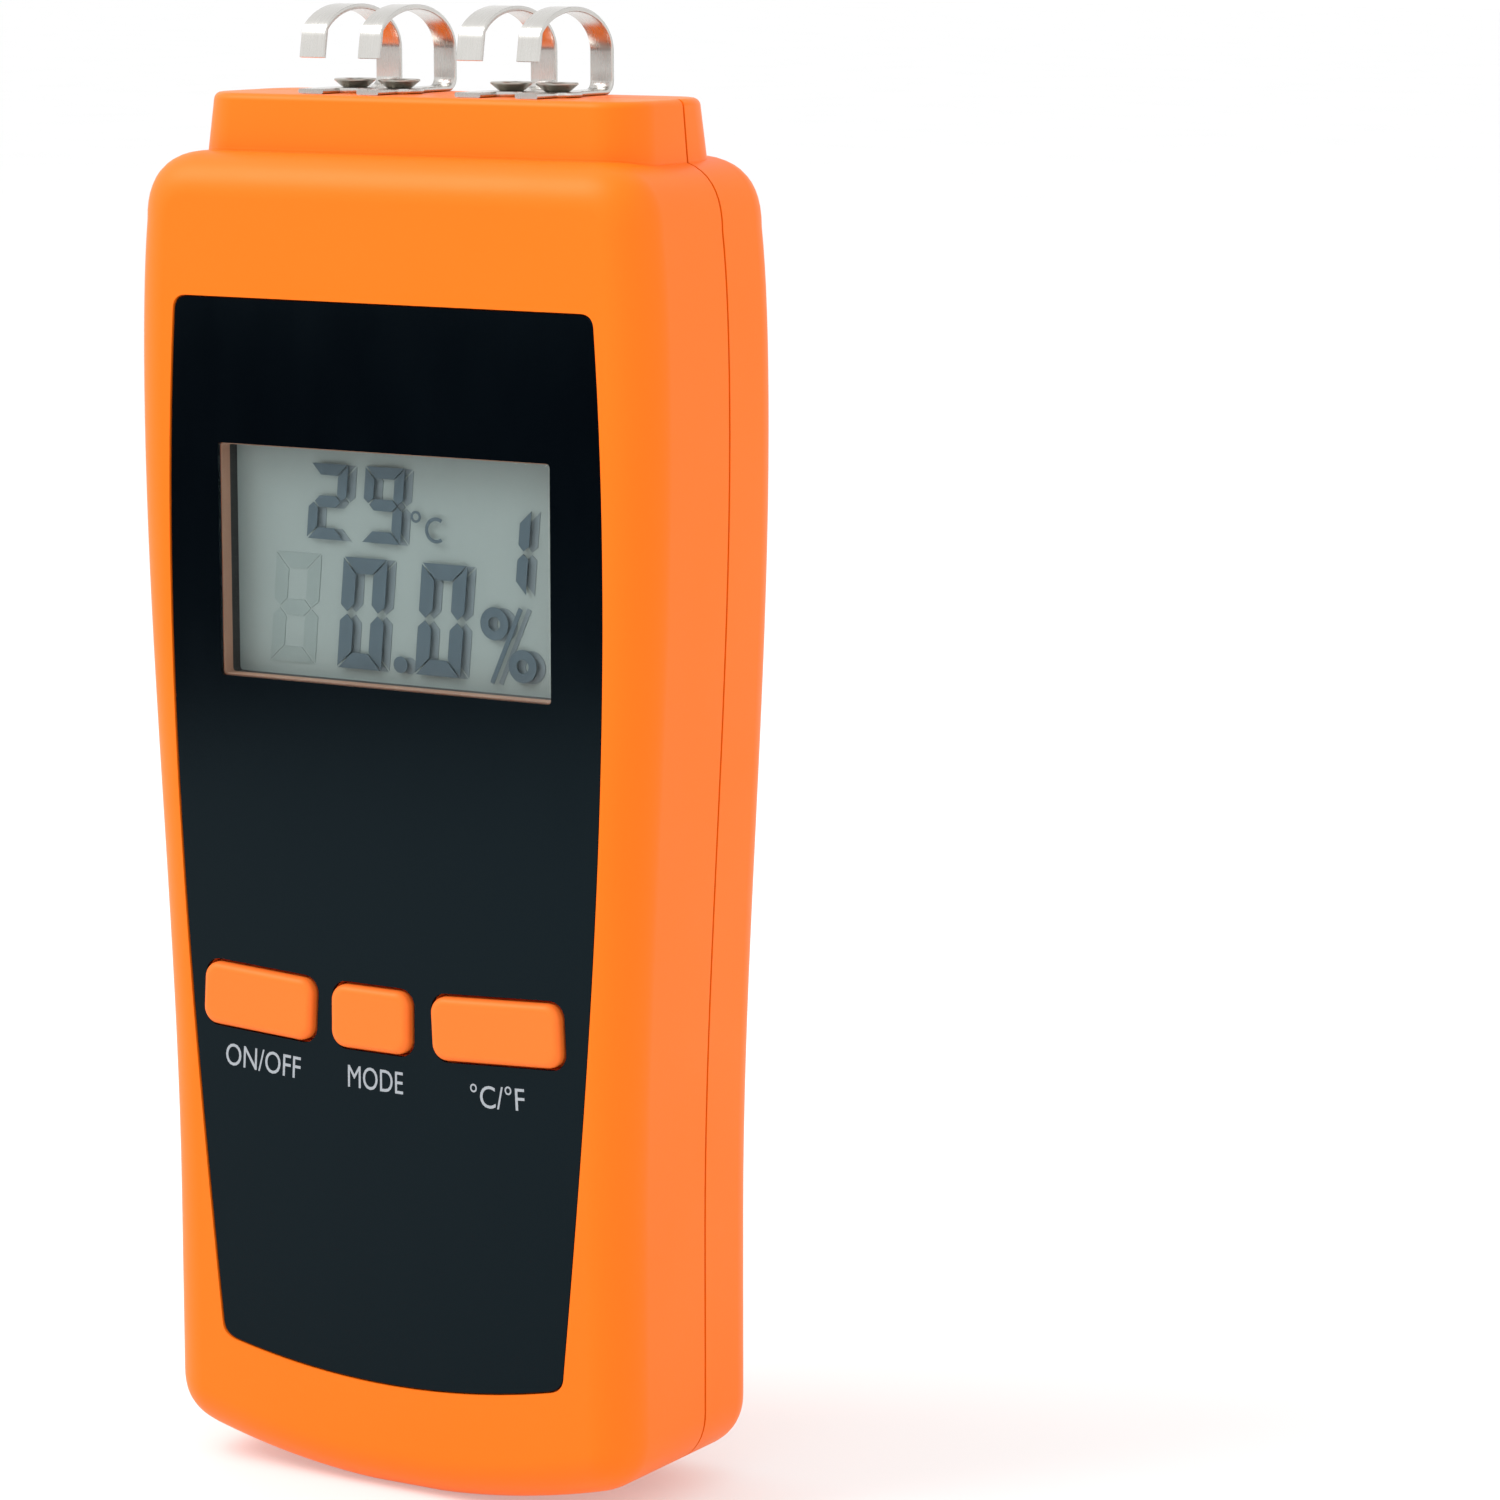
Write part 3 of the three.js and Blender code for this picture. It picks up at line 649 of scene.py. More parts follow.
def body_block(inset):
    edge = EDGE_RADIUS - inset
    front = rounded_rim(inset, edge, RIM_STEPS, inset)
    back = rounded_rim(CASE_DEPTH - inset, edge, RIM_STEPS, inset, -1)
    return slab("block", case_outline, front + back[::-1])


def neck_block(inset):
    bottom = CASE_HEIGHT - SHOULDER_CORNER - EDGE_RADIUS
    top = NECK_TOP - inset
    middle = NECK_SETBACK + NECK_DEPTH / 2
    profile = [(bottom, 0), (top - NECK_EDGE, 0)]
    profile += rounded_rim(top, NECK_EDGE, 5, 0, -1)[::-1][1:]
    rings = []
    for level, rim in profile:
        shrink = inset + rim + (level - CASE_HEIGHT) * NECK_DRAFT
        corner = NECK_CORNER - inset / 2 - rim
        outline = rounded_rectangle(NECK_WIDTH - 2 * shrink, NECK_DEPTH - 2 * shrink, corner)
        rings.append([place(x, middle + y, level) for x, y in outline])
    return skin("neck", rings)


def case_block(inset):
    return combine(body_block(inset), "UNION", [neck_block(inset)])


def between_depths(front, back):
    return block("slice", (-80, front, -20), (80, back, 180))


# %% [markdown]
# The panel lies in a shallow recess whose sides curve in towards the foot, as the
# case does. The keys stand on a slight arc, so each is drawn about its own middle
# and then turned to follow the arc. The same outlines cut the holes, a little wider.

# %% Panel outline
PANEL_TOP = 120.7
PANEL_TOP_HALF = 25
PANEL_BULGE = 2.4
PANEL_FLARE = 3.6
PANEL_FOOT_HALF = 20.9
PANEL_FOOT_CENTRE = 100.3
PANEL_FOOT_RADIUS = 89
PANEL_CORNER = 1.6
WINDOW_WIDTH = 39.6
WINDOW_HEIGHT = 23.5
WINDOW_CORNER = 0.4
WINDOW_LEVEL = 94.3


def panel_outline(inset):
    top = PANEL_TOP - inset
    top_half = PANEL_TOP_HALF - inset
    foot_half = PANEL_FOOT_HALF - inset
    centre = PANEL_FOOT_CENTRE
    radius = PANEL_FOOT_RADIUS - inset
    reach = foot_half - PANEL_CORNER
    level = circle_level(centre, radius, foot_half)
    side = level + PANEL_CORNER
    third = (top - side) / 3
    half = [Vector((top_half - PANEL_CORNER, top))]
    half += bezier([half[0], (top_half, top), (top_half, top - PANEL_CORNER)], 8)
    half += bezier([
        half[-1], (top_half + PANEL_BULGE, top - third),
        (foot_half + PANEL_FLARE, side + third), (foot_half, side),
    ], 32)
    end = (reach, circle_level(centre, radius, reach))
    half += bezier([half[-1], (foot_half, level), end], 8)
    half += bottom_arc(centre, radius, reach, 12)[1:]
    return mirrored(half)


def window_outline(inset):
    flat = rounded_rectangle(WINDOW_WIDTH - 2 * inset, WINDOW_HEIGHT - 2 * inset, WINDOW_CORNER, 4)
    return [(x, z + WINDOW_LEVEL) for x, z in flat]


# %% Key outlines
KEY_ARC = 275
KEY_LEVEL = 49.05
KEY_HEIGHT = 6.4
KEY_CORNER = 1.6
KEYS = {"power": (-15.4, 13.4), "mode": (-1.65, 9.4), "unit": (13.35, 15.2)}
GAP = 0.3


def key_place(x):
    """The tilt of the arc and its height at a key."""
    tilt = math.asin(x / KEY_ARC)
    return tilt, KEY_LEVEL + KEY_ARC * (1 - math.cos(tilt))


def turned_spot(x, level, tilt, u, v):
    """Where the point (u, v) of a tilted drawing lies, whose middle is at (x, level)."""
    return x + u * math.cos(tilt) - v * math.sin(tilt), level + u * math.sin(tilt) + v * math.cos(tilt)


def key_outline(name):
    x, width = KEYS[name]
    tilt, level = key_place(x)

    def outline(inset):
        corner = max(KEY_CORNER - inset / 2, 0.3)
        flat = rounded_rectangle(width - 2 * inset, KEY_HEIGHT - 2 * inset, corner, 8)
        return [turned_spot(x, level, tilt, u, v) for u, v in flat]

    return outline


def key_holes(front, back):
    return [slab("hole", key_outline(name), [(front, -GAP), (back, -GAP)]) for name in KEYS]


# %% [markdown]
# The front shell is the block in front of the parting line, hollowed, with a lip
# that reaches into the rear shell. Inside stand the posts of the circuit board, the
# tubes for the case screws and the bosses that hold the brass inserts under the
# strips. The panel recess, the window and the key holes are cut last.

# %% Places of screws and posts
SEAM = 15.1
SEAM_GAP = 0.3
LIP = 0.8
LIP_LENGTH = 1.2
CASE_SCREWS = [(-22, 127), (22, 127), (-15, 8.8), (15, 8.8)]
SCREW_SEAT = 21.4
SCREW_HEAD = 2.4
POSTS = [(-19, 36), (19, 36), (-17, 118), (17, 118)]
BOARD_DEPTH = 8
STRIPS = [-12.9, -5.85, 5.85, 12.9]
STRIP_SCREWS = [-11.2, -5.85, 7.55, 12.9]
SCREW_DEPTH = 12.6
INSERT_TOP = NECK_TOP - 1.8
INSERT_BOTTOM = INSERT_TOP - 4.2
INSERT_RADIUS = 1.9
SCREW_HOLE = 1.35
SCREW_TUBE = 3.4
SCREW_TUBE_FOOT = 1.7
POST_RADIUS = 2
RECESS_DEPTH = 0.7


def rod(x, z, radius, front, back, sides=32):
    return turned("rod", (x, 0, z), "Y", [(front, radius), (back, radius)], sides)


def upright(x, depth, radius, bottom, top):
    return turned("upright", (x, depth, 0), "Z", [(bottom, radius), (top, radius)], 32)


# %% Front shell


def front_shell():
    shell = combine(case_block(0), "INTERSECT", [between_depths(-1, SEAM)])
    combine(shell, "DIFFERENCE", [case_block(WALL)])
    lip = combine(case_block(WALL - LIP), "DIFFERENCE", [case_block(WALL)])
    combine(lip, "INTERSECT", [between_depths(SEAM - 1, SEAM + LIP_LENGTH)])
    stock = [rod(x, z, SCREW_TUBE, WALL / 2, SCREW_SEAT - SCREW_TUBE_FOOT) for x, z in CASE_SCREWS]
    stock += [rod(x, z, POST_RADIUS, RECESS_DEPTH + 0.6, BOARD_DEPTH - GAP) for x, z in POSTS]
    boss_radius = INSERT_RADIUS + 1
    bosses = [upright(x, SCREW_DEPTH, boss_radius, INSERT_BOTTOM, NECK_TOP - 1) for x in STRIP_SCREWS]
    for boss in bosses:
        combine(boss, "INTERSECT", [between_depths(0, SEAM)])
    combine(shell, "UNION", [lip] + stock + bosses)
    holes = [rod(x, z, SCREW_HOLE, SCREW_SEAT - 10, CASE_DEPTH) for x, z in CASE_SCREWS]
    for x in STRIP_SCREWS:
        holes.append(upright(x, SCREW_DEPTH, INSERT_RADIUS, INSERT_BOTTOM - 1, INSERT_TOP + GAP))
        holes.append(upright(x, SCREW_DEPTH, SCREW_HOLE, INSERT_BOTTOM, NECK_TOP + 1))
    holes.append(slab("recess", panel_outline, [(-1, 0), (RECESS_DEPTH, 0)]))
    holes.append(slab("window", window_outline, [(-1, 0), (WALL + 1, 0)]))
    combine(shell, "DIFFERENCE", holes + key_holes(-1, WALL + 1))
    shell.name = "front_shell_moulding"
    return shell


front = front_shell()
soften(front, 0.12)
smooth(front)
dress(front, orange, "case", ["front_shell"])

# %% [markdown]
# The rear shell is the other half. It holds the box of the battery pocket, open to
# the back under the door, and its two ribs that hold the contact plates. Four wells
# let the case screws sink below the surface.

# %% Places in the rear shell
POCKET_WALL = 1.2
POCKET_FRONT = node_box("battery_cell_1")[0][1] - GAP - POCKET_WALL
POCKET_HALF = 22.05
POCKET_BOTTOM = 14.2
RIB_THICKNESS = 1.2
RIB_ROOT = 0.6
WELL_WALL = 1.2
WELL_FLOOR = 1.4
DOOR_LOW, DOOR_HIGH = node_box("battery_door")
DOOR_HALF = (DOOR_HIGH[0] - DOOR_LOW[0]) / 2
DOOR_TOP = DOOR_HIGH[2]
DOOR_BOTTOM = 17.2
INSIDE = CASE_DEPTH - WALL
print("the pocket reaches forward to", round(POCKET_FRONT, 3), "mm")

# %% Rear shell


def rear_stock():
    """The pocket's box and the wells of the screws."""
    outer = POCKET_HALF + POCKET_WALL
    low = (-outer, POCKET_FRONT, POCKET_BOTTOM - POCKET_WALL)
    pocket = block("pocket", low, (outer, INSIDE + 0.5, DOOR_TOP))
    radius = SCREW_HEAD + WELL_WALL
    return [pocket] + [rod(x, z, radius, SCREW_SEAT - WELL_FLOOR, INSIDE + 1) for x, z in CASE_SCREWS]


def rear_cuts():
    """The pocket's hollow, the door's opening and the holes of the screws."""
    low = (-POCKET_HALF, POCKET_FRONT + POCKET_WALL, POCKET_BOTTOM)
    cuts = [block("hollow", low, (POCKET_HALF, INSIDE + 0.7, DOOR_TOP - POCKET_WALL))]
    half = DOOR_HALF + GAP
    low = (-half, INSIDE, DOOR_BOTTOM - GAP)
    cuts.append(block("opening", low, (half, CASE_DEPTH + 1, DOOR_TOP + GAP)))
    for x, z in CASE_SCREWS:
        cuts.append(rod(x, z, SCREW_HOLE, 0, CASE_DEPTH))
        cuts.append(rod(x, z, SCREW_HEAD + GAP, SCREW_SEAT, CASE_DEPTH + 1, 48))
    return cuts


def pocket_ribs():
    """Two ribs that the contact plates lean on."""
    reach = POCKET_HALF + RIB_ROOT
    lower = node_box("contact_plate_bottom_left")[0][2] - GAP - RIB_THICKNESS
    upper = node_box("contact_plate_top_left")[1][2] + GAP
    ribs = []
    for level in (lower, upper):
        low = (-reach, POCKET_FRONT + RIB_ROOT, level)
        ribs.append(block("rib", low, (reach, INSIDE - 2.4, level + RIB_THICKNESS)))
    return ribs


def rear_shell():
    start = SEAM + SEAM_GAP
    shell = combine(case_block(0), "INTERSECT", [between_depths(start, CASE_DEPTH + 1)])
    combine(shell, "DIFFERENCE", [case_block(WALL)])
    rebate = case_block(WALL - LIP - SEAM_GAP)
    combine(rebate, "INTERSECT", [between_depths(0, start + LIP_LENGTH)])
    combine(shell, "DIFFERENCE", [rebate])
    combine(shell, "UNION", rear_stock())
    combine(shell, "DIFFERENCE", rear_cuts())
    combine(shell, "UNION", pocket_ribs())
    shell.name = "rear_shell_moulding"
    return shell


rear = rear_shell()
soften(rear, 0.12)
smooth(rear)
dress(rear, orange, "case", ["rear_shell"])

# %% [markdown]
# The battery door is a flat cover with four finger grooves near its free edge. Its
# lower edge is a round bar with two hooked tabs, which it turns on.

# %% Battery door
DOOR_THICKNESS = 1.8
TAB_PLACES = (-13, 13)
TAB_HALF = 3
TAB_THICKNESS = 1
TAB_DROP = 2.2
TAB_TOP = 4.4
GROOVE_HALF = 8
GROOVE_DEPTH = 0.5
GROOVE_WIDTH = 1.2


def door_hook(x, axis, bar):
    """A tab that hooks under the case, and the neck that joins it to the door."""
    back = INSIDE - GAP
    left = x - TAB_HALF
    right = x + TAB_HALF
    top = axis + TAB_TOP
    tab = block("tab", (left, back - TAB_THICKNESS, DOOR_BOTTOM - TAB_DROP), (right, back, top))
    low = (left, back - TAB_THICKNESS, axis + TAB_TOP / 2)
    return [tab, block("neck", low, (right, CASE_DEPTH - bar, top))]


def battery_door():
    bar = DOOR_THICKNESS / 2
    axis = DOOR_BOTTOM + bar
    low = (-DOOR_HALF, CASE_DEPTH - DOOR_THICKNESS, axis)
    door = block("battery_door_cover", low, (DOOR_HALF, CASE_DEPTH, DOOR_TOP))
    ends = [(-DOOR_HALF, bar), (DOOR_HALF, bar)]
    stock = [turned("bar", (0, CASE_DEPTH - bar, axis), "X", ends)]
    for x in TAB_PLACES:
        stock += door_hook(x, axis, bar)
    combine(door, "UNION", stock)
    grooves = []
    for i in range(4):
        level = DOOR_TOP - 2 * GROOVE_WIDTH * (i + 2)
        low = (-GROOVE_HALF, CASE_DEPTH - GROOVE_DEPTH, level)
        grooves.append(block("groove", low, (GROOVE_HALF, CASE_DEPTH + 1, level + GROOVE_WIDTH)))
    return combine(door, "DIFFERENCE", grooves)


door = battery_door()
soften(door, 0.15)
smooth(door)
dress(door, orange, "battery_door", ["battery_door"])

# %% [markdown]
# The front film is half a millimetre thick, cut to the recess with holes for the
# keys. The clear window is its own pane, so that it can have its own finish.

# %% Front film and window
FILM_FRONT = node_box("panel_overlay")[0][1]
FILM_BACK = node_box("panel_overlay")[1][1]
FILM_EDGE = 0.08
FILM_FIT = 0.1
film_profile = [
    (FILM_FRONT, FILM_FIT + FILM_EDGE), (FILM_FRONT + FILM_EDGE, FILM_FIT), (FILM_BACK, FILM_FIT),
]

overlay = slab("front_film", panel_outline, film_profile)
window_hole = slab("hole", window_outline, [(-1, 0), (WALL, 0)])
combine(overlay, "DIFFERENCE", [window_hole] + key_holes(-1, WALL))
smooth(overlay)
dress(overlay, film, "case", ["panel_overlay"])

window = slab("clear_window_pane", window_outline, film_profile)
smooth(window)
dress(window, pane, "case", ["display_window"])

# %% [markdown]
# The labels under the keys are printed on the film in light ink. Each word is a
# text curve made into a thin mesh, set to its width and height and turned with the
# arc of the keys.

# %% Printed labels
LABELS = {
    "power": ("ON/OFF", -15.3, 43.2, 9.3, 2.3),
    "mode": ("MODE", -1.45, 42.85, 6.7, 2.3),
    "unit": ("°C/°F", 13.2, 42.75, 6.4, 2.4),
}
INK_DEPTH = 0.02
print("labels:", [text for text, *_ in LABELS.values()])

# %% Word from a text curve


def label(name, text, x, level, width, height):
    curve = bpy.data.curves.new(name, "FONT")
    curve.body = text
    curve.extrude = 1
    curve.resolution_u = 4
    letters = add_object(name, curve)
    graph = bpy.context.evaluated_depsgraph_get()
    mesh = bpy.data.meshes.new_from_object(letters.evaluated_get(graph))
    bpy.data.objects.remove(letters)
    spots = [vertex.co.copy() for vertex in mesh.vertices]
    low = Vector([min(spot[i] for spot in spots) for i in range(3)])
    high = Vector([max(spot[i] for spot in spots) for i in range(3)])
    tilt = math.asin(x / KEY_ARC)
    for vertex, spot in zip(mesh.vertices, spots):
        u = (spot.x - (low.x + high.x) / 2) * width / (high.x - low.x)
        v = (spot.y - (low.y + high.y) / 2) * height / (high.y - low.y)
        depth = FILM_FRONT - INK_DEPTH * (spot.z - low.z) / (high.z - low.z)
        across, height_there = turned_spot(x, level, tilt, u, v)
        vertex.co = place(across, depth, height_there)
    shape = bmesh.new()
    shape.from_mesh(mesh)
    bmesh.ops.recalc_face_normals(shape, faces=shape.faces)
    shape.to_mesh(mesh)
    shape.free()
    return add_object(name, mesh)


for name, (text, x, level, width, height) in LABELS.items():
    word = label(f"{name}_label", text, x, level, width, height)
    dress(word, ink)

# %% [markdown]
# Behind the window the display is a glass cell. Its reflecting sheet fills the
# opening, and the segments float in front of it. The shade they drop on the sheet is
# a second set of plates, moved to the right. Seven bars make each digit. Their ends
# are cut at an angle, they lean a little to the right, and thin gaps keep them apart.

# %% Display sheet
GLASS_LOW, GLASS_HIGH = node_box("display_glass")
GLASS_THICKNESS = 0.5
SEGMENT_DEPTH = GLASS_LOW[1] + GLASS_THICKNESS
SHEET_DEPTH = SEGMENT_DEPTH + GLASS_THICKNESS
sheet = block("display_cell", (GLASS_LOW[0], SHEET_DEPTH, GLASS_LOW[2]), GLASS_HIGH)
soften(sheet, 0.1)
smooth(sheet)
dress(sheet, sheet_finish, "case", ["display_glass"])

# %% Bars of a digit
LIT = {"0": "abcdef", "1": "bc", "2": "abged", "8": "abcdefg", "9": "abcdfg"}
LEAN = 0.09
BAR_GAP = 0.13


def bar(start, end, thickness):
    """A flat bar with blunt ends between two points."""
    start = Vector(start)
    end = Vector(end)
    along = (end - start).normalized() * thickness / 2
    side = Vector((-along.y, along.x))
    return [start + side, end + side, end - side, start - side]


def digit_bars(sign, left, right, low, high, thickness):
    """Bars with mitred corners. Their inner edges are shorter than their outer ones."""
    t = thickness
    g = BAR_GAP
    middle = (low + high) / 2
    half = t / 2
    a = [(left + g, high), (right - g, high), (right - t - g, high - t), (left + t + g, high - t)]
    d = [(left + g, low), (right - g, low), (right - t - g, low + t), (left + t + g, low + t)]
    upper = [
        (0, high - g), (0, middle + half), (half, middle + g), (t, middle + half + g), (t, high - t - g),
    ]
    lower = [
        (0, low + g), (0, middle - half), (half, middle - g), (t, middle - half - g), (t, low + t + g),
    ]
    g_bar = [
        (left + half + g, middle), (left + t + g, middle + half), (right - t - g, middle + half),
        (right - half - g, middle), (right - t - g, middle - half), (left + t + g, middle - half),
    ]
    shapes = {
        "a": a, "d": d, "g": g_bar,
        "b": [(right - x, z) for x, z in upper], "f": [(left + x, z) for x, z in upper],
        "c": [(right - x, z) for x, z in lower], "e": [(left + x, z) for x, z in lower],
    }
    return [[(x + LEAN * (z - low), z) for x, z in shapes[name]] for name in LIT[sign]]


# %% Rings and plates
SEGMENT_HEIGHT = 0.05
RING_SIDES = 24


def ring_bars(x, z, radius, thickness, start=0, turn=360):
    """A ring, or part of one, as short flat pieces that touch."""
    bars = []
    inner = radius - thickness
    for i in range(RING_SIDES):
        a, b = (math.radians(start + turn * k / RING_SIDES) for k in (i, i + 1))
        corners = [(inner, a), (radius, a), (radius, b), (inner, b)]
        bars.append([(x + r * math.cos(angle), z + r * math.sin(angle)) for r, angle in corners])
    return bars


def plates(name, polygons, depth):
    """Thin flat plates from polygons drawn in x and height."""
    shape = bmesh.new()
    for polygon in polygons:
        front = [shape.verts.new(place(x, depth, z)) for x, z in polygon]
        back = [shape.verts.new(place(x, depth + SEGMENT_HEIGHT, z)) for x, z in polygon]
        shape.faces.new(front)
        shape.faces.new(back[::-1])
        for i in range(len(front)):
            shape.faces.new((front[i - 1], front[i], back[i], back[i - 1]))
    bmesh.ops.remove_doubles(shape, verts=shape.verts, dist=1e-7)
    return add_object(name, closed_mesh(name, shape))


# %% Reading on the display
small = {"low": 96.7, "high": 104.3, "thickness": 1.15}
large = {"low": 83.9, "high": 95.1, "thickness": 1.6}
reading = digit_bars("2", -10.9, -6.4, **small)
reading += digit_bars("9", -4.3, 0.4, **small)
reading += digit_bars("0", -7.4, -2.1, **large)
reading += digit_bars("0", 2.0, 7.4, **large)
reading += digit_bars("1", 11.2, 15.2, 92.6, 101.1, 1.25)
decimal_point = arc((0.3, 84.7), 0.85, 0, 11 * math.pi / 6, 11)
reading += [decimal_point]
reading += ring_bars(11.5, 89.6, 1.65, 0.95)
reading += ring_bars(14.8, 85.6, 1.65, 0.95)
reading += [bar((11.2, 83.7), (14.6, 91.3), 0.5)]
unit_sign = ring_bars(2.3, 99.6, 0.6, 0.25) + ring_bars(4.7, 98.4, 1.3, 0.36, 55, 250)
lit_segments = plates("display_reading", reading + unit_sign, SEGMENT_DEPTH)
dress(lit_segments, segment_on)

# %% Shade and unlit digit
SHADE_SHIFT = 0.75
SHADE_DROP = 0.1
ON_SHEET = SHEET_DEPTH - SEGMENT_HEIGHT
shades = [[(x + SHADE_SHIFT, z - SHADE_DROP) for x, z in polygon] for polygon in reading]
shade_plates = plates("display_segment_shade", shades, ON_SHEET - 0.005)
dress(shade_plates, segment_shade)

faint = digit_bars("8", -15.9, -10.4, **large)
idle_segments = plates("display_idle_segments", faint, ON_SHEET - 0.002)
dress(idle_segments, segment_off)

# %% [markdown]
# A dark foam gasket closes the space between the case and the display. Its black also
# stands for the shade that the case wall casts on the display's edge, a painted shade. A
# thin brownish lining on the opening's wall is painted shade and a painted pale
# reflection on the orange moulding. Both are plain rings with the outline of the window.

# %% Gasket and rim of the window


def window_ring(name, outer, inner, front, back):
    ring = slab(name, window_outline, [(front, outer), (back, outer)])
    hole = slab("hole", window_outline, [(front - 1, inner), (back + 1, inner)])
    return combine(ring, "DIFFERENCE", [hole])


# The gasket is partly a real foam ring and partly painted shade, darkening the display's edge where the
# case wall shades it.
gasket = window_ring("display_edge_gasket_and_shade", -1.4, 0.1, WALL + 0.04, SHEET_DEPTH - 0.02)
dress(gasket, dark_gasket_and_painted_shade)
# This lining paints the orange wall of the window in shade, with a pale reflection on it.
rim = window_ring("window_wall_shade_lining", 0.02, 0.14, FILM_BACK + 0.02, WALL)
dress(rim, window_wall_shade_and_reflection)

# %% [markdown]
# Each key is one cap: a face with well rounded edges stands a little proud of the
# film, and a wider flange inside keeps it from falling out. The whole cap is one
# skin, its profile running from the rounded face to the flange.

# %% Keys
KEY_PROUD = 0.8
KEY_ROUND = 0.7
KEY_CROWN = 0.4
FLANGE_THICKNESS = 0.7
FLANGE_REACH = 0.8
KEY_PRESS = {"power": "power_key", "mode": "mode_key", "unit": "unit_key"}


def key_cap(name):
    rim = rounded_rim(-KEY_PROUD, KEY_ROUND, 7)
    crown = [(-KEY_PROUD, KEY_ROUND + KEY_CROWN)]
    flange_front = WALL + GAP
    flange_back = flange_front + FLANGE_THICKNESS
    body = [(flange_front, 0), (flange_front, -FLANGE_REACH), (flange_back, -FLANGE_REACH)]
    return slab(f"{name}_key_cap", key_outline(name), crown + rim + body)


for name, body in KEY_PRESS.items():
    cap = key_cap(name)
    smooth(cap)
    # The keys' paler orange is a painted sheen.
    dress(cap, painted_sheen_key_orange, body, [f"{name}_button"])

# %% [markdown]
# Each strip lies flat on the neck with a round pad under its screw, turns up at the
# back, arches forward over the screw and ends in a straight tab below a crease. It
# is swept along that line with softened edges, and widens to the pad. A pressed
# strip bends near its root.

# %% Line of a strip
STRIP_WIDTH = 2.6
STRIP_THICKNESS = 0.5
STEM_DEPTH = 20.8
ARCH_SPAN = 13.8
ARCH_RISE = 4.3
ARCH_TOP = 8.8
PAD_RADIUS = 2.5
BEND = 1.1
PRESS_GAP = 0.03
ARCH_TURN = 150
TAB_LEAN = 0.5
TAB_LENGTH = 2.8
FOOT_LEVEL = NECK_TOP + PRESS_GAP + STRIP_THICKNESS / 2


def strip_line():
    """The middle line in depth and height, and half the pad's width at each point."""
    start = STEM_DEPTH - ARCH_SPAN
    line = []
    foot_steps = 56
    for i in range(foot_steps + 1):
        depth = start + (STEM_DEPTH - BEND - start) * i / foot_steps
        beside = PAD_RADIUS ** 2 - (depth - SCREW_DEPTH) ** 2
        line.append((depth, FOOT_LEVEL, math.sqrt(max(beside, 0))))
    bend_steps = 8
    for i in range(1, bend_steps + 1):
        turn = math.pi / 2 * i / bend_steps
        depth = STEM_DEPTH - BEND + BEND * math.sin(turn)
        line.append((depth, FOOT_LEVEL + BEND * (1 - math.cos(turn)), 0))
    radius = ARCH_SPAN / 2
    centre = STEM_DEPTH - radius
    spring = NECK_TOP + STRIP_THICKNESS + ARCH_TOP - 1.5 * STRIP_THICKNESS - ARCH_RISE
    stem_steps = 5
    for i in range(1, stem_steps):
        line.append((STEM_DEPTH, FOOT_LEVEL + BEND + (spring - FOOT_LEVEL - BEND) * i / stem_steps, 0))
    arch_steps = 36
    for i in range(arch_steps + 1):
        turn = math.radians(ARCH_TURN) * i / arch_steps
        line.append((centre + radius * math.cos(turn), spring + ARCH_RISE * math.sin(turn), 0))
    crease = line[-1]
    tab_steps = 4
    for i in range(1, tab_steps + 1):
        part = i / tab_steps
        line.append((crease[0] - TAB_LEAN * part, crease[1] - TAB_LENGTH * part, 0))
    return line


# %% Sweep a strip
STRIP_EDGE = 0.12
ROOT_LEVEL = NECK_TOP + 0.6
FREE_LEVEL = NECK_TOP + 3


def strip(name, x, pad_x):
    """Sweeps a strip at x. Its pad lies at pad_x, which may be to one side."""
    line = strip_line()
    half = STRIP_THICKNESS / 2
    rings = []
    for i, (depth, level, pad) in enumerate(line):
        left = max(STRIP_WIDTH / 2, pad - pad_x + x)
        right = max(STRIP_WIDTH / 2, pad + pad_x - x)
        before = line[max(i - 1, 0)]
        after = line[min(i + 1, len(line) - 1)]
        along = Vector((after[0] - before[0], after[1] - before[1])).normalized()
        normal = Vector((-along.y, along.x))
        ring = []
        for u, v in [
            (right - STRIP_EDGE, half), (right, half - STRIP_EDGE),
            (right, STRIP_EDGE - half), (right - STRIP_EDGE, -half),
            (STRIP_EDGE - left, -half), (-left, STRIP_EDGE - half),
            (-left, half - STRIP_EDGE), (STRIP_EDGE - left, half),
        ]:
            ring.append(place(x + u, depth + normal.x * v, level + normal.y * v))
        rings.append(ring)
    return skin(name, rings)


for number, (x, pad_x) in enumerate(zip(STRIPS, STRIP_SCREWS), 1):
    piece = strip(f"steel_strip_{number}", x, pad_x)
    smooth(piece, 50)
    covered = [f"electrode_{number}", f"electrode_foot_{number}"]
    dress(piece, strip_steel, None, covered)
    root = place(x, STEM_DEPTH, ROOT_LEVEL)
    free = place(x, STEM_DEPTH, FREE_LEVEL)
    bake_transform(piece)

# %% [markdown]
# All screws are turned, and cut with a cross for the driver. Those in the strips
# have a cone head that stands on the pad with a thin bright rim, and those in the
# back have a low domed head.

# %% Screws
SLOT_WIDTH = 0.7
SLOT_LENGTH = 2.4
SLOT_DEPTH = 0.8
SHANK = 1.15


def screw(name, centre, axis, top, profile):
    """A turned piece with two slots at right angles, sunk from `top` along the axis."""
    made = turned(name, centre, axis, profile, 48)
    x, depth, height = centre
    slots = []
    for across, along in ((SLOT_WIDTH / 2, SLOT_LENGTH / 2), (SLOT_LENGTH / 2, SLOT_WIDTH / 2)):
        if axis == "Z":
            low = (x - across, depth - along, top - SLOT_DEPTH)
            slots.append(block("slot", low, (x + across, depth + along, top + 1)))
        else:
            low = (x - across, top - SLOT_DEPTH, height - along)
            slots.append(block("slot", low, (x + across, top + 1, height + along)))
    return combine(made, "DIFFERENCE", slots)


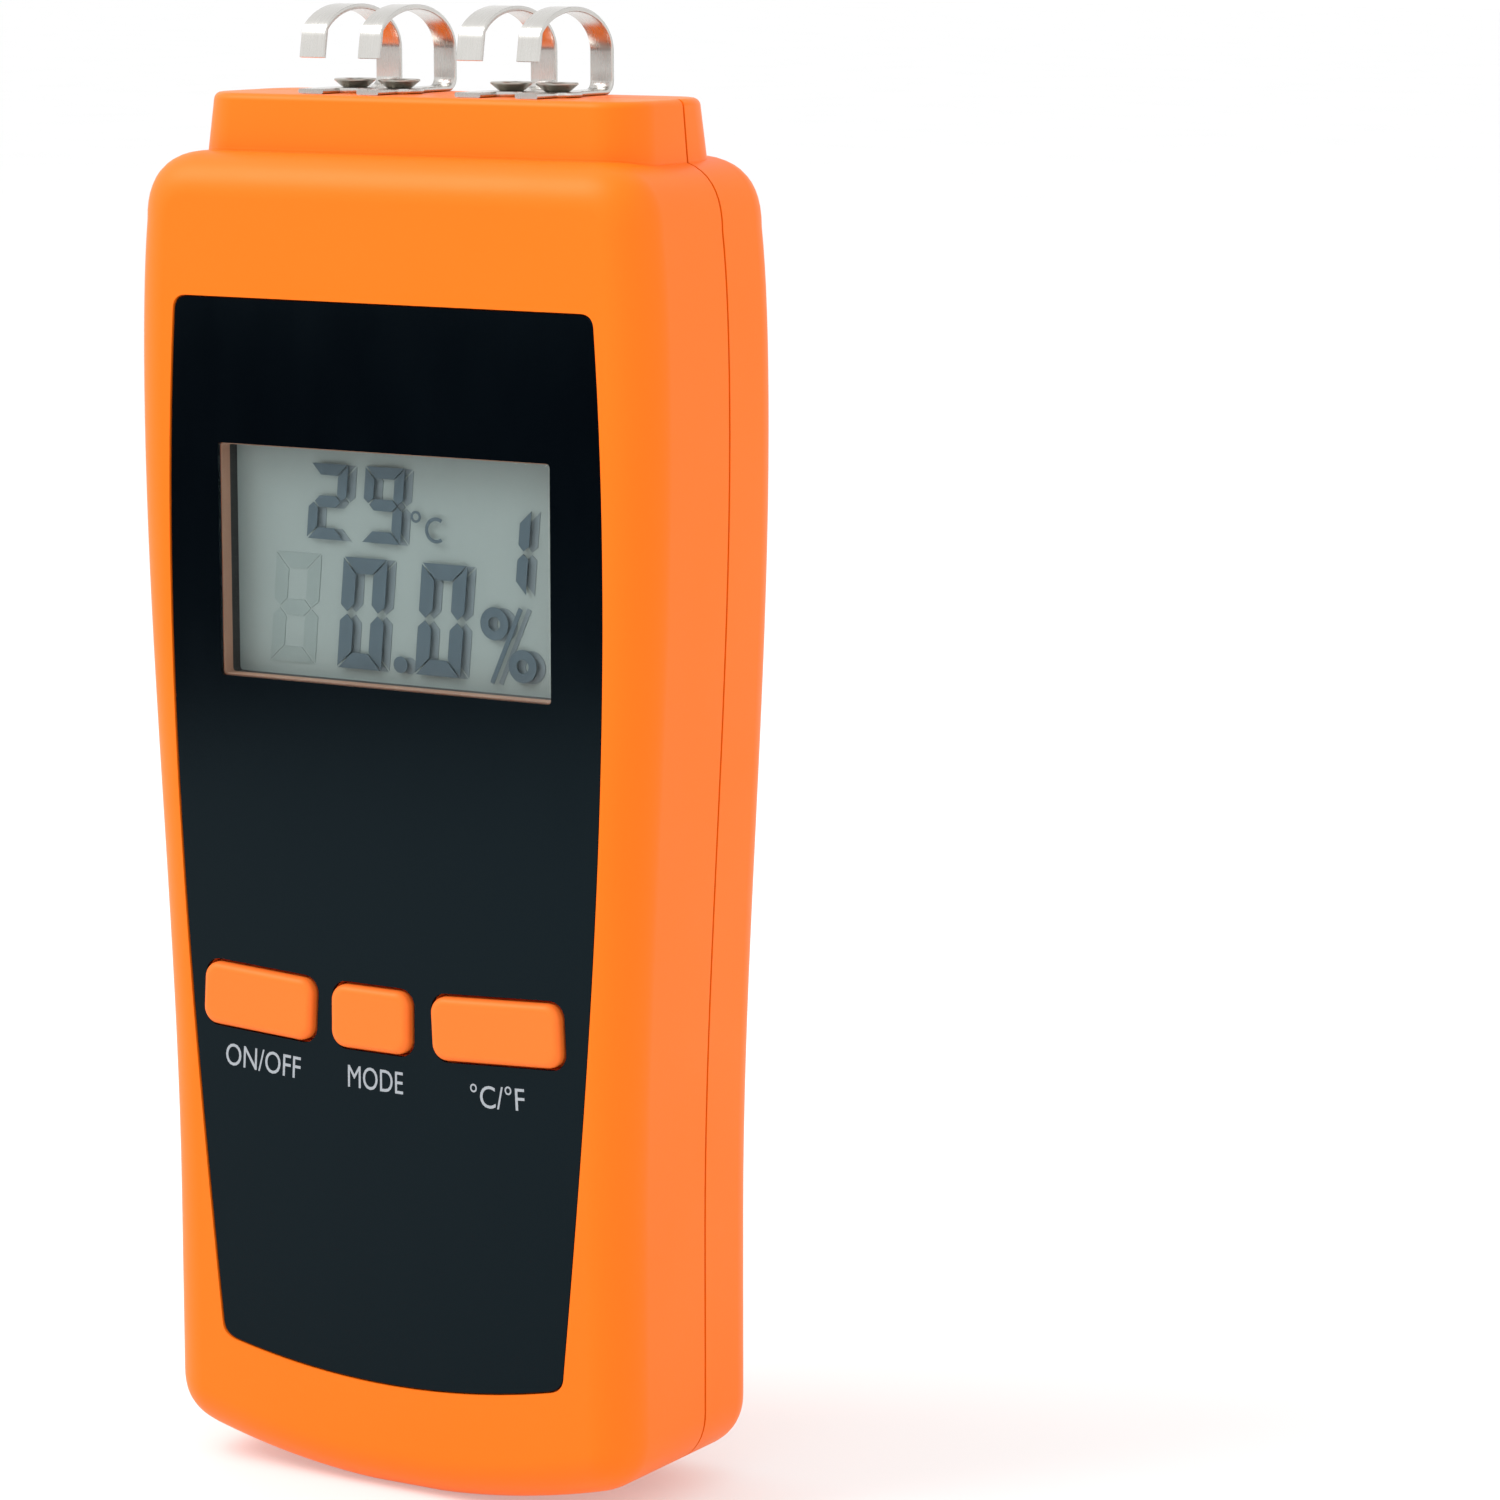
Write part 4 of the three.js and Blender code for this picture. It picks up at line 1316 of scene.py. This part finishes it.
def strip_screw(name, x):
    base = NECK_TOP + STRIP_THICKNESS + PRESS_GAP
    top = base + 0.9
    profile = [
        (base - 6, 0.7), (base - 5.5, SHANK), (base, SHANK), (base + 0.1, 1.35), (top - 0.25, 2.0),
        (top - 0.18, 2.1), (top - 0.06, 2.1), (top, 2.02), (top - 0.03, 1.8),
    ]
    return screw(name, (x, SCREW_DEPTH, 0), "Z", top, profile)


def case_screw(name, x, z):
    base = SCREW_SEAT + GAP / 2
    top = base + 1.8
    profile = [
        (SCREW_SEAT - 9, 0.8), (SCREW_SEAT - 8.5, SHANK), (base, SHANK), (base, 2.3),
        (base + 0.1, SCREW_HEAD), (top - 0.8, SCREW_HEAD), (top - 0.4, 2.25), (top - 0.12, 1.8), (top, 1.1),
    ]
    return screw(name, (x, 0, z), "Y", top, profile)


for number, x in enumerate(STRIP_SCREWS, 1):
    piece = strip_screw(f"strip_screw_{number}", x)
    smooth(piece)
    dress(piece, screw_steel, "case", [f"electrode_screw_{number}"])

for number, (x, z) in enumerate(CASE_SCREWS, 1):
    piece = case_screw(f"back_screw_{number}", x, z)
    smooth(piece)
    dress(piece, screw_steel, "case", [f"case_screw_{number}"])

# %% [markdown]
# Four slim cells lie side by side behind the door, each the other way up from its
# neighbour. A cell is a can in a printed sleeve that laps over its ends, with a
# bright nub at the plus end. The steel is bare at both ends, and the sleeve has a
# light band beside the nub.

# %% Cells
CELL_DEPTH = (node_box("battery_cell_1")[0][1] + node_box("battery_cell_1")[1][1]) / 2
CELL_RADIUS = 5.25
NUB_RADIUS = 1.9
BAND_LENGTH = 12


def cell(number):
    low, high = node_box(f"battery_cell_{number}")
    x = (low[0] + high[0]) / 2
    nub_up = number % 2 == 1
    start = low[2] if nub_up else high[2]
    sign = 1 if nub_up else -1
    length = high[2] - low[2]
    r = CELL_RADIUS
    shoulder = length - 1
    profile = [
        (0, 3.4), (0.12, 3.6), (0.12, r - 0.5), (0, r - 0.35), (0.1, r - 0.1), (0.35, r),
        (length - BAND_LENGTH, r), (length - 1.35, r), (length - 1.1, r - 0.1), (shoulder, r - 0.4),
        (length - 1.12, r - 0.6), (length - 1.12, NUB_RADIUS + 0.2), (shoulder, NUB_RADIUS),
        (length - 0.15, NUB_RADIUS), (length, NUB_RADIUS - 0.15),
    ]
    rings = [(start + sign * along, radius) for along, radius in profile]
    made = turned(f"cell_{number}", (x, CELL_DEPTH, 0), "Z", rings, 56)
    for finish in (spring_steel, sleeve, sleeve_band):
        made.data.materials.append(finish)
    for face in made.data.polygons:
        along = sign * (face.center.z / MM - start)
        reach = math.hypot(face.center.x / MM - x, face.center.y / MM - front_face - CELL_DEPTH)
        if reach > r - 0.7:
            face.material_index = 2 if along > length - BAND_LENGTH else 1
    return made


for number in range(1, 5):
    piece = cell(number)
    smooth(piece)
    dress(piece, sleeve, "case", [f"battery_cell_{number}"])

# %% [markdown]
# The minus end of each cell presses on a conical spring. It is a wire swept along a
# tightening helix, with a flat dead turn at each end as real contact springs have.

# %% Contact springs
WIRE = 0.3
WIRE_SIDES = 10
SPRING_TURNS = 5
TURN_STEPS = 24
SPRING_BASE = 3.2
SPRING_TAPER = 1.2
DEAD_SHARE = 0.14


def contact_spring(number):
    low, high = node_box(f"contact_spring_{number}")
    x = (low[0] + high[0]) / 2
    base = low[2] + WIRE
    tip = high[2] - WIRE
    if number % 2 == 0:
        base, tip = tip, base
    steps = SPRING_TURNS * TURN_STEPS
    rings = []
    for i in range(steps + 1):
        t = i / steps
        rise = min(max((t - DEAD_SHARE) / (1 - 2 * DEAD_SHARE), 0), 1)
        radius = SPRING_BASE - SPRING_TAPER * t
        turn = 2 * math.pi * SPRING_TURNS * t
        outward = Vector((math.cos(turn), math.sin(turn), 0))
        centre = Vector((x, CELL_DEPTH, base + (tip - base) * rise)) + radius * outward
        ring = []
        for k in range(WIRE_SIDES):
            angle = 2 * math.pi * k / WIRE_SIDES
            spot = centre + WIRE * (math.cos(angle) * outward + math.sin(angle) * Vector((0, 0, 1)))
            ring.append(place(*spot))
        rings.append(ring)
    return skin(f"cone_spring_{number}", rings)


for number in range(1, 5):
    piece = contact_spring(number)
    smooth(piece, 60)
    dress(piece, spring_steel, "case", [f"contact_spring_{number}"])

# %% [markdown]
# The other inner parts have simple true shapes in the frame already, so those
# nodes stay and only get a finish in place of their plain one.

# %% Finishes for the nodes that stay
STAYING = {
    "display_holder": white_plastic, "contact_strip": grey_rubber, "_plunger": white_plastic,
    "_switch": black_plastic, "circuit_board": board, "_chip": black_plastic,
    "buzzer": black_plastic, "contact_plate": spring_steel, "electrode_insert": brass,
    "electrode_lead": red_lead,
}
for name, node in nodes.items():
    for word, finish in STAYING.items():
        if word in name:
            node.data.materials.clear()
            node.data.materials.append(finish)
            print(name, "is finished as", finish.name)

# %% [markdown]
# The floor is a broad pale sheet that glows a little, so that shadows on it stay
# light, and the room is white all round, as in a light tent. Soft lamps give it
# direction: a large one from the upper left makes the shoulder shine, and a weaker
# one on the right keeps the side open. A black card at the front left is what the
# upper half of the glossy film mirrors.

# %% Floor and room
FLOOR_HALF = 6
FLOOR_GLOW = 0.3
ROOM_STRENGTH = 1.08


def pale_floor():
    finish = Finish("floor")
    clouds = finish.noise(60, detail=3)
    return finish.surface({
        "Base Color": finish.between(clouds, (0.6, 0.6, 0.6), (0.64, 0.64, 0.64)),
        "Roughness": 0.7 + 0.1 * clouds,
        "Specular IOR Level": 0.2,
        "Emission Color": (1, 1, 1),
        "Emission Strength": FLOOR_GLOW,
    })


def flat_sheet(name, corners, finish):
    mesh = bpy.data.meshes.new(name)
    mesh.from_pydata(corners, [], [(0, 1, 2, 3)])
    mesh.materials.append(finish)
    made = add_object(name, mesh)


signs = [(-1, -1), (1, -1), (1, 1), (-1, 1)]
floor_corners = [(i * FLOOR_HALF, j * FLOOR_HALF, 0) for i, j in signs]
flat_sheet("floor", floor_corners, pale_floor())

world = bpy.data.worlds.new("room")
world.use_nodes = True
room = world.node_tree.nodes["Background"]
room.inputs["Color"].default_value = (1, 1, 1, 1)
room.inputs["Strength"].default_value = ROOM_STRENGTH
bpy.context.scene.world = world
print("floor and room are in place")

# %% Lamps and card
AIM = Vector((0, 0, 0.075))


def lamp(name, spot, size, power):
    data = bpy.data.lights.new(name, "AREA")
    data.shape = "RECTANGLE"
    data.size, data.size_y = size
    data.energy = power
    made = add_object(name, data)
    made.location = spot
    made.rotation_euler = (AIM - Vector(spot)).to_track_quat("-Z", "Y").to_euler()


lamp("upper_left", (-0.55, -0.5, 0.9), (0.6, 0.6), 8)
lamp("right_side", (0.9, -0.1, 0.5), (0.5, 0.7), 0.5)

card_finish = plain("black_card", (0.004, 0.004, 0.005), (0.006, 0.006, 0.007), 0.7)
CARD_MIDDLE = Vector((-0.31, -0.445, 0))
CARD_HALF = 0.18
CARD_HEIGHT = 0.09
card_across = Vector((CARD_MIDDLE.y, -CARD_MIDDLE.x, 0)).normalized() * CARD_HALF
card_foot = [CARD_MIDDLE - card_across, CARD_MIDDLE + card_across]
card_top = [corner + Vector((0, 0, CARD_HEIGHT)) for corner in reversed(card_foot)]
flat_sheet("black_card", card_foot + card_top, card_finish)
print("lamps and card are in place")
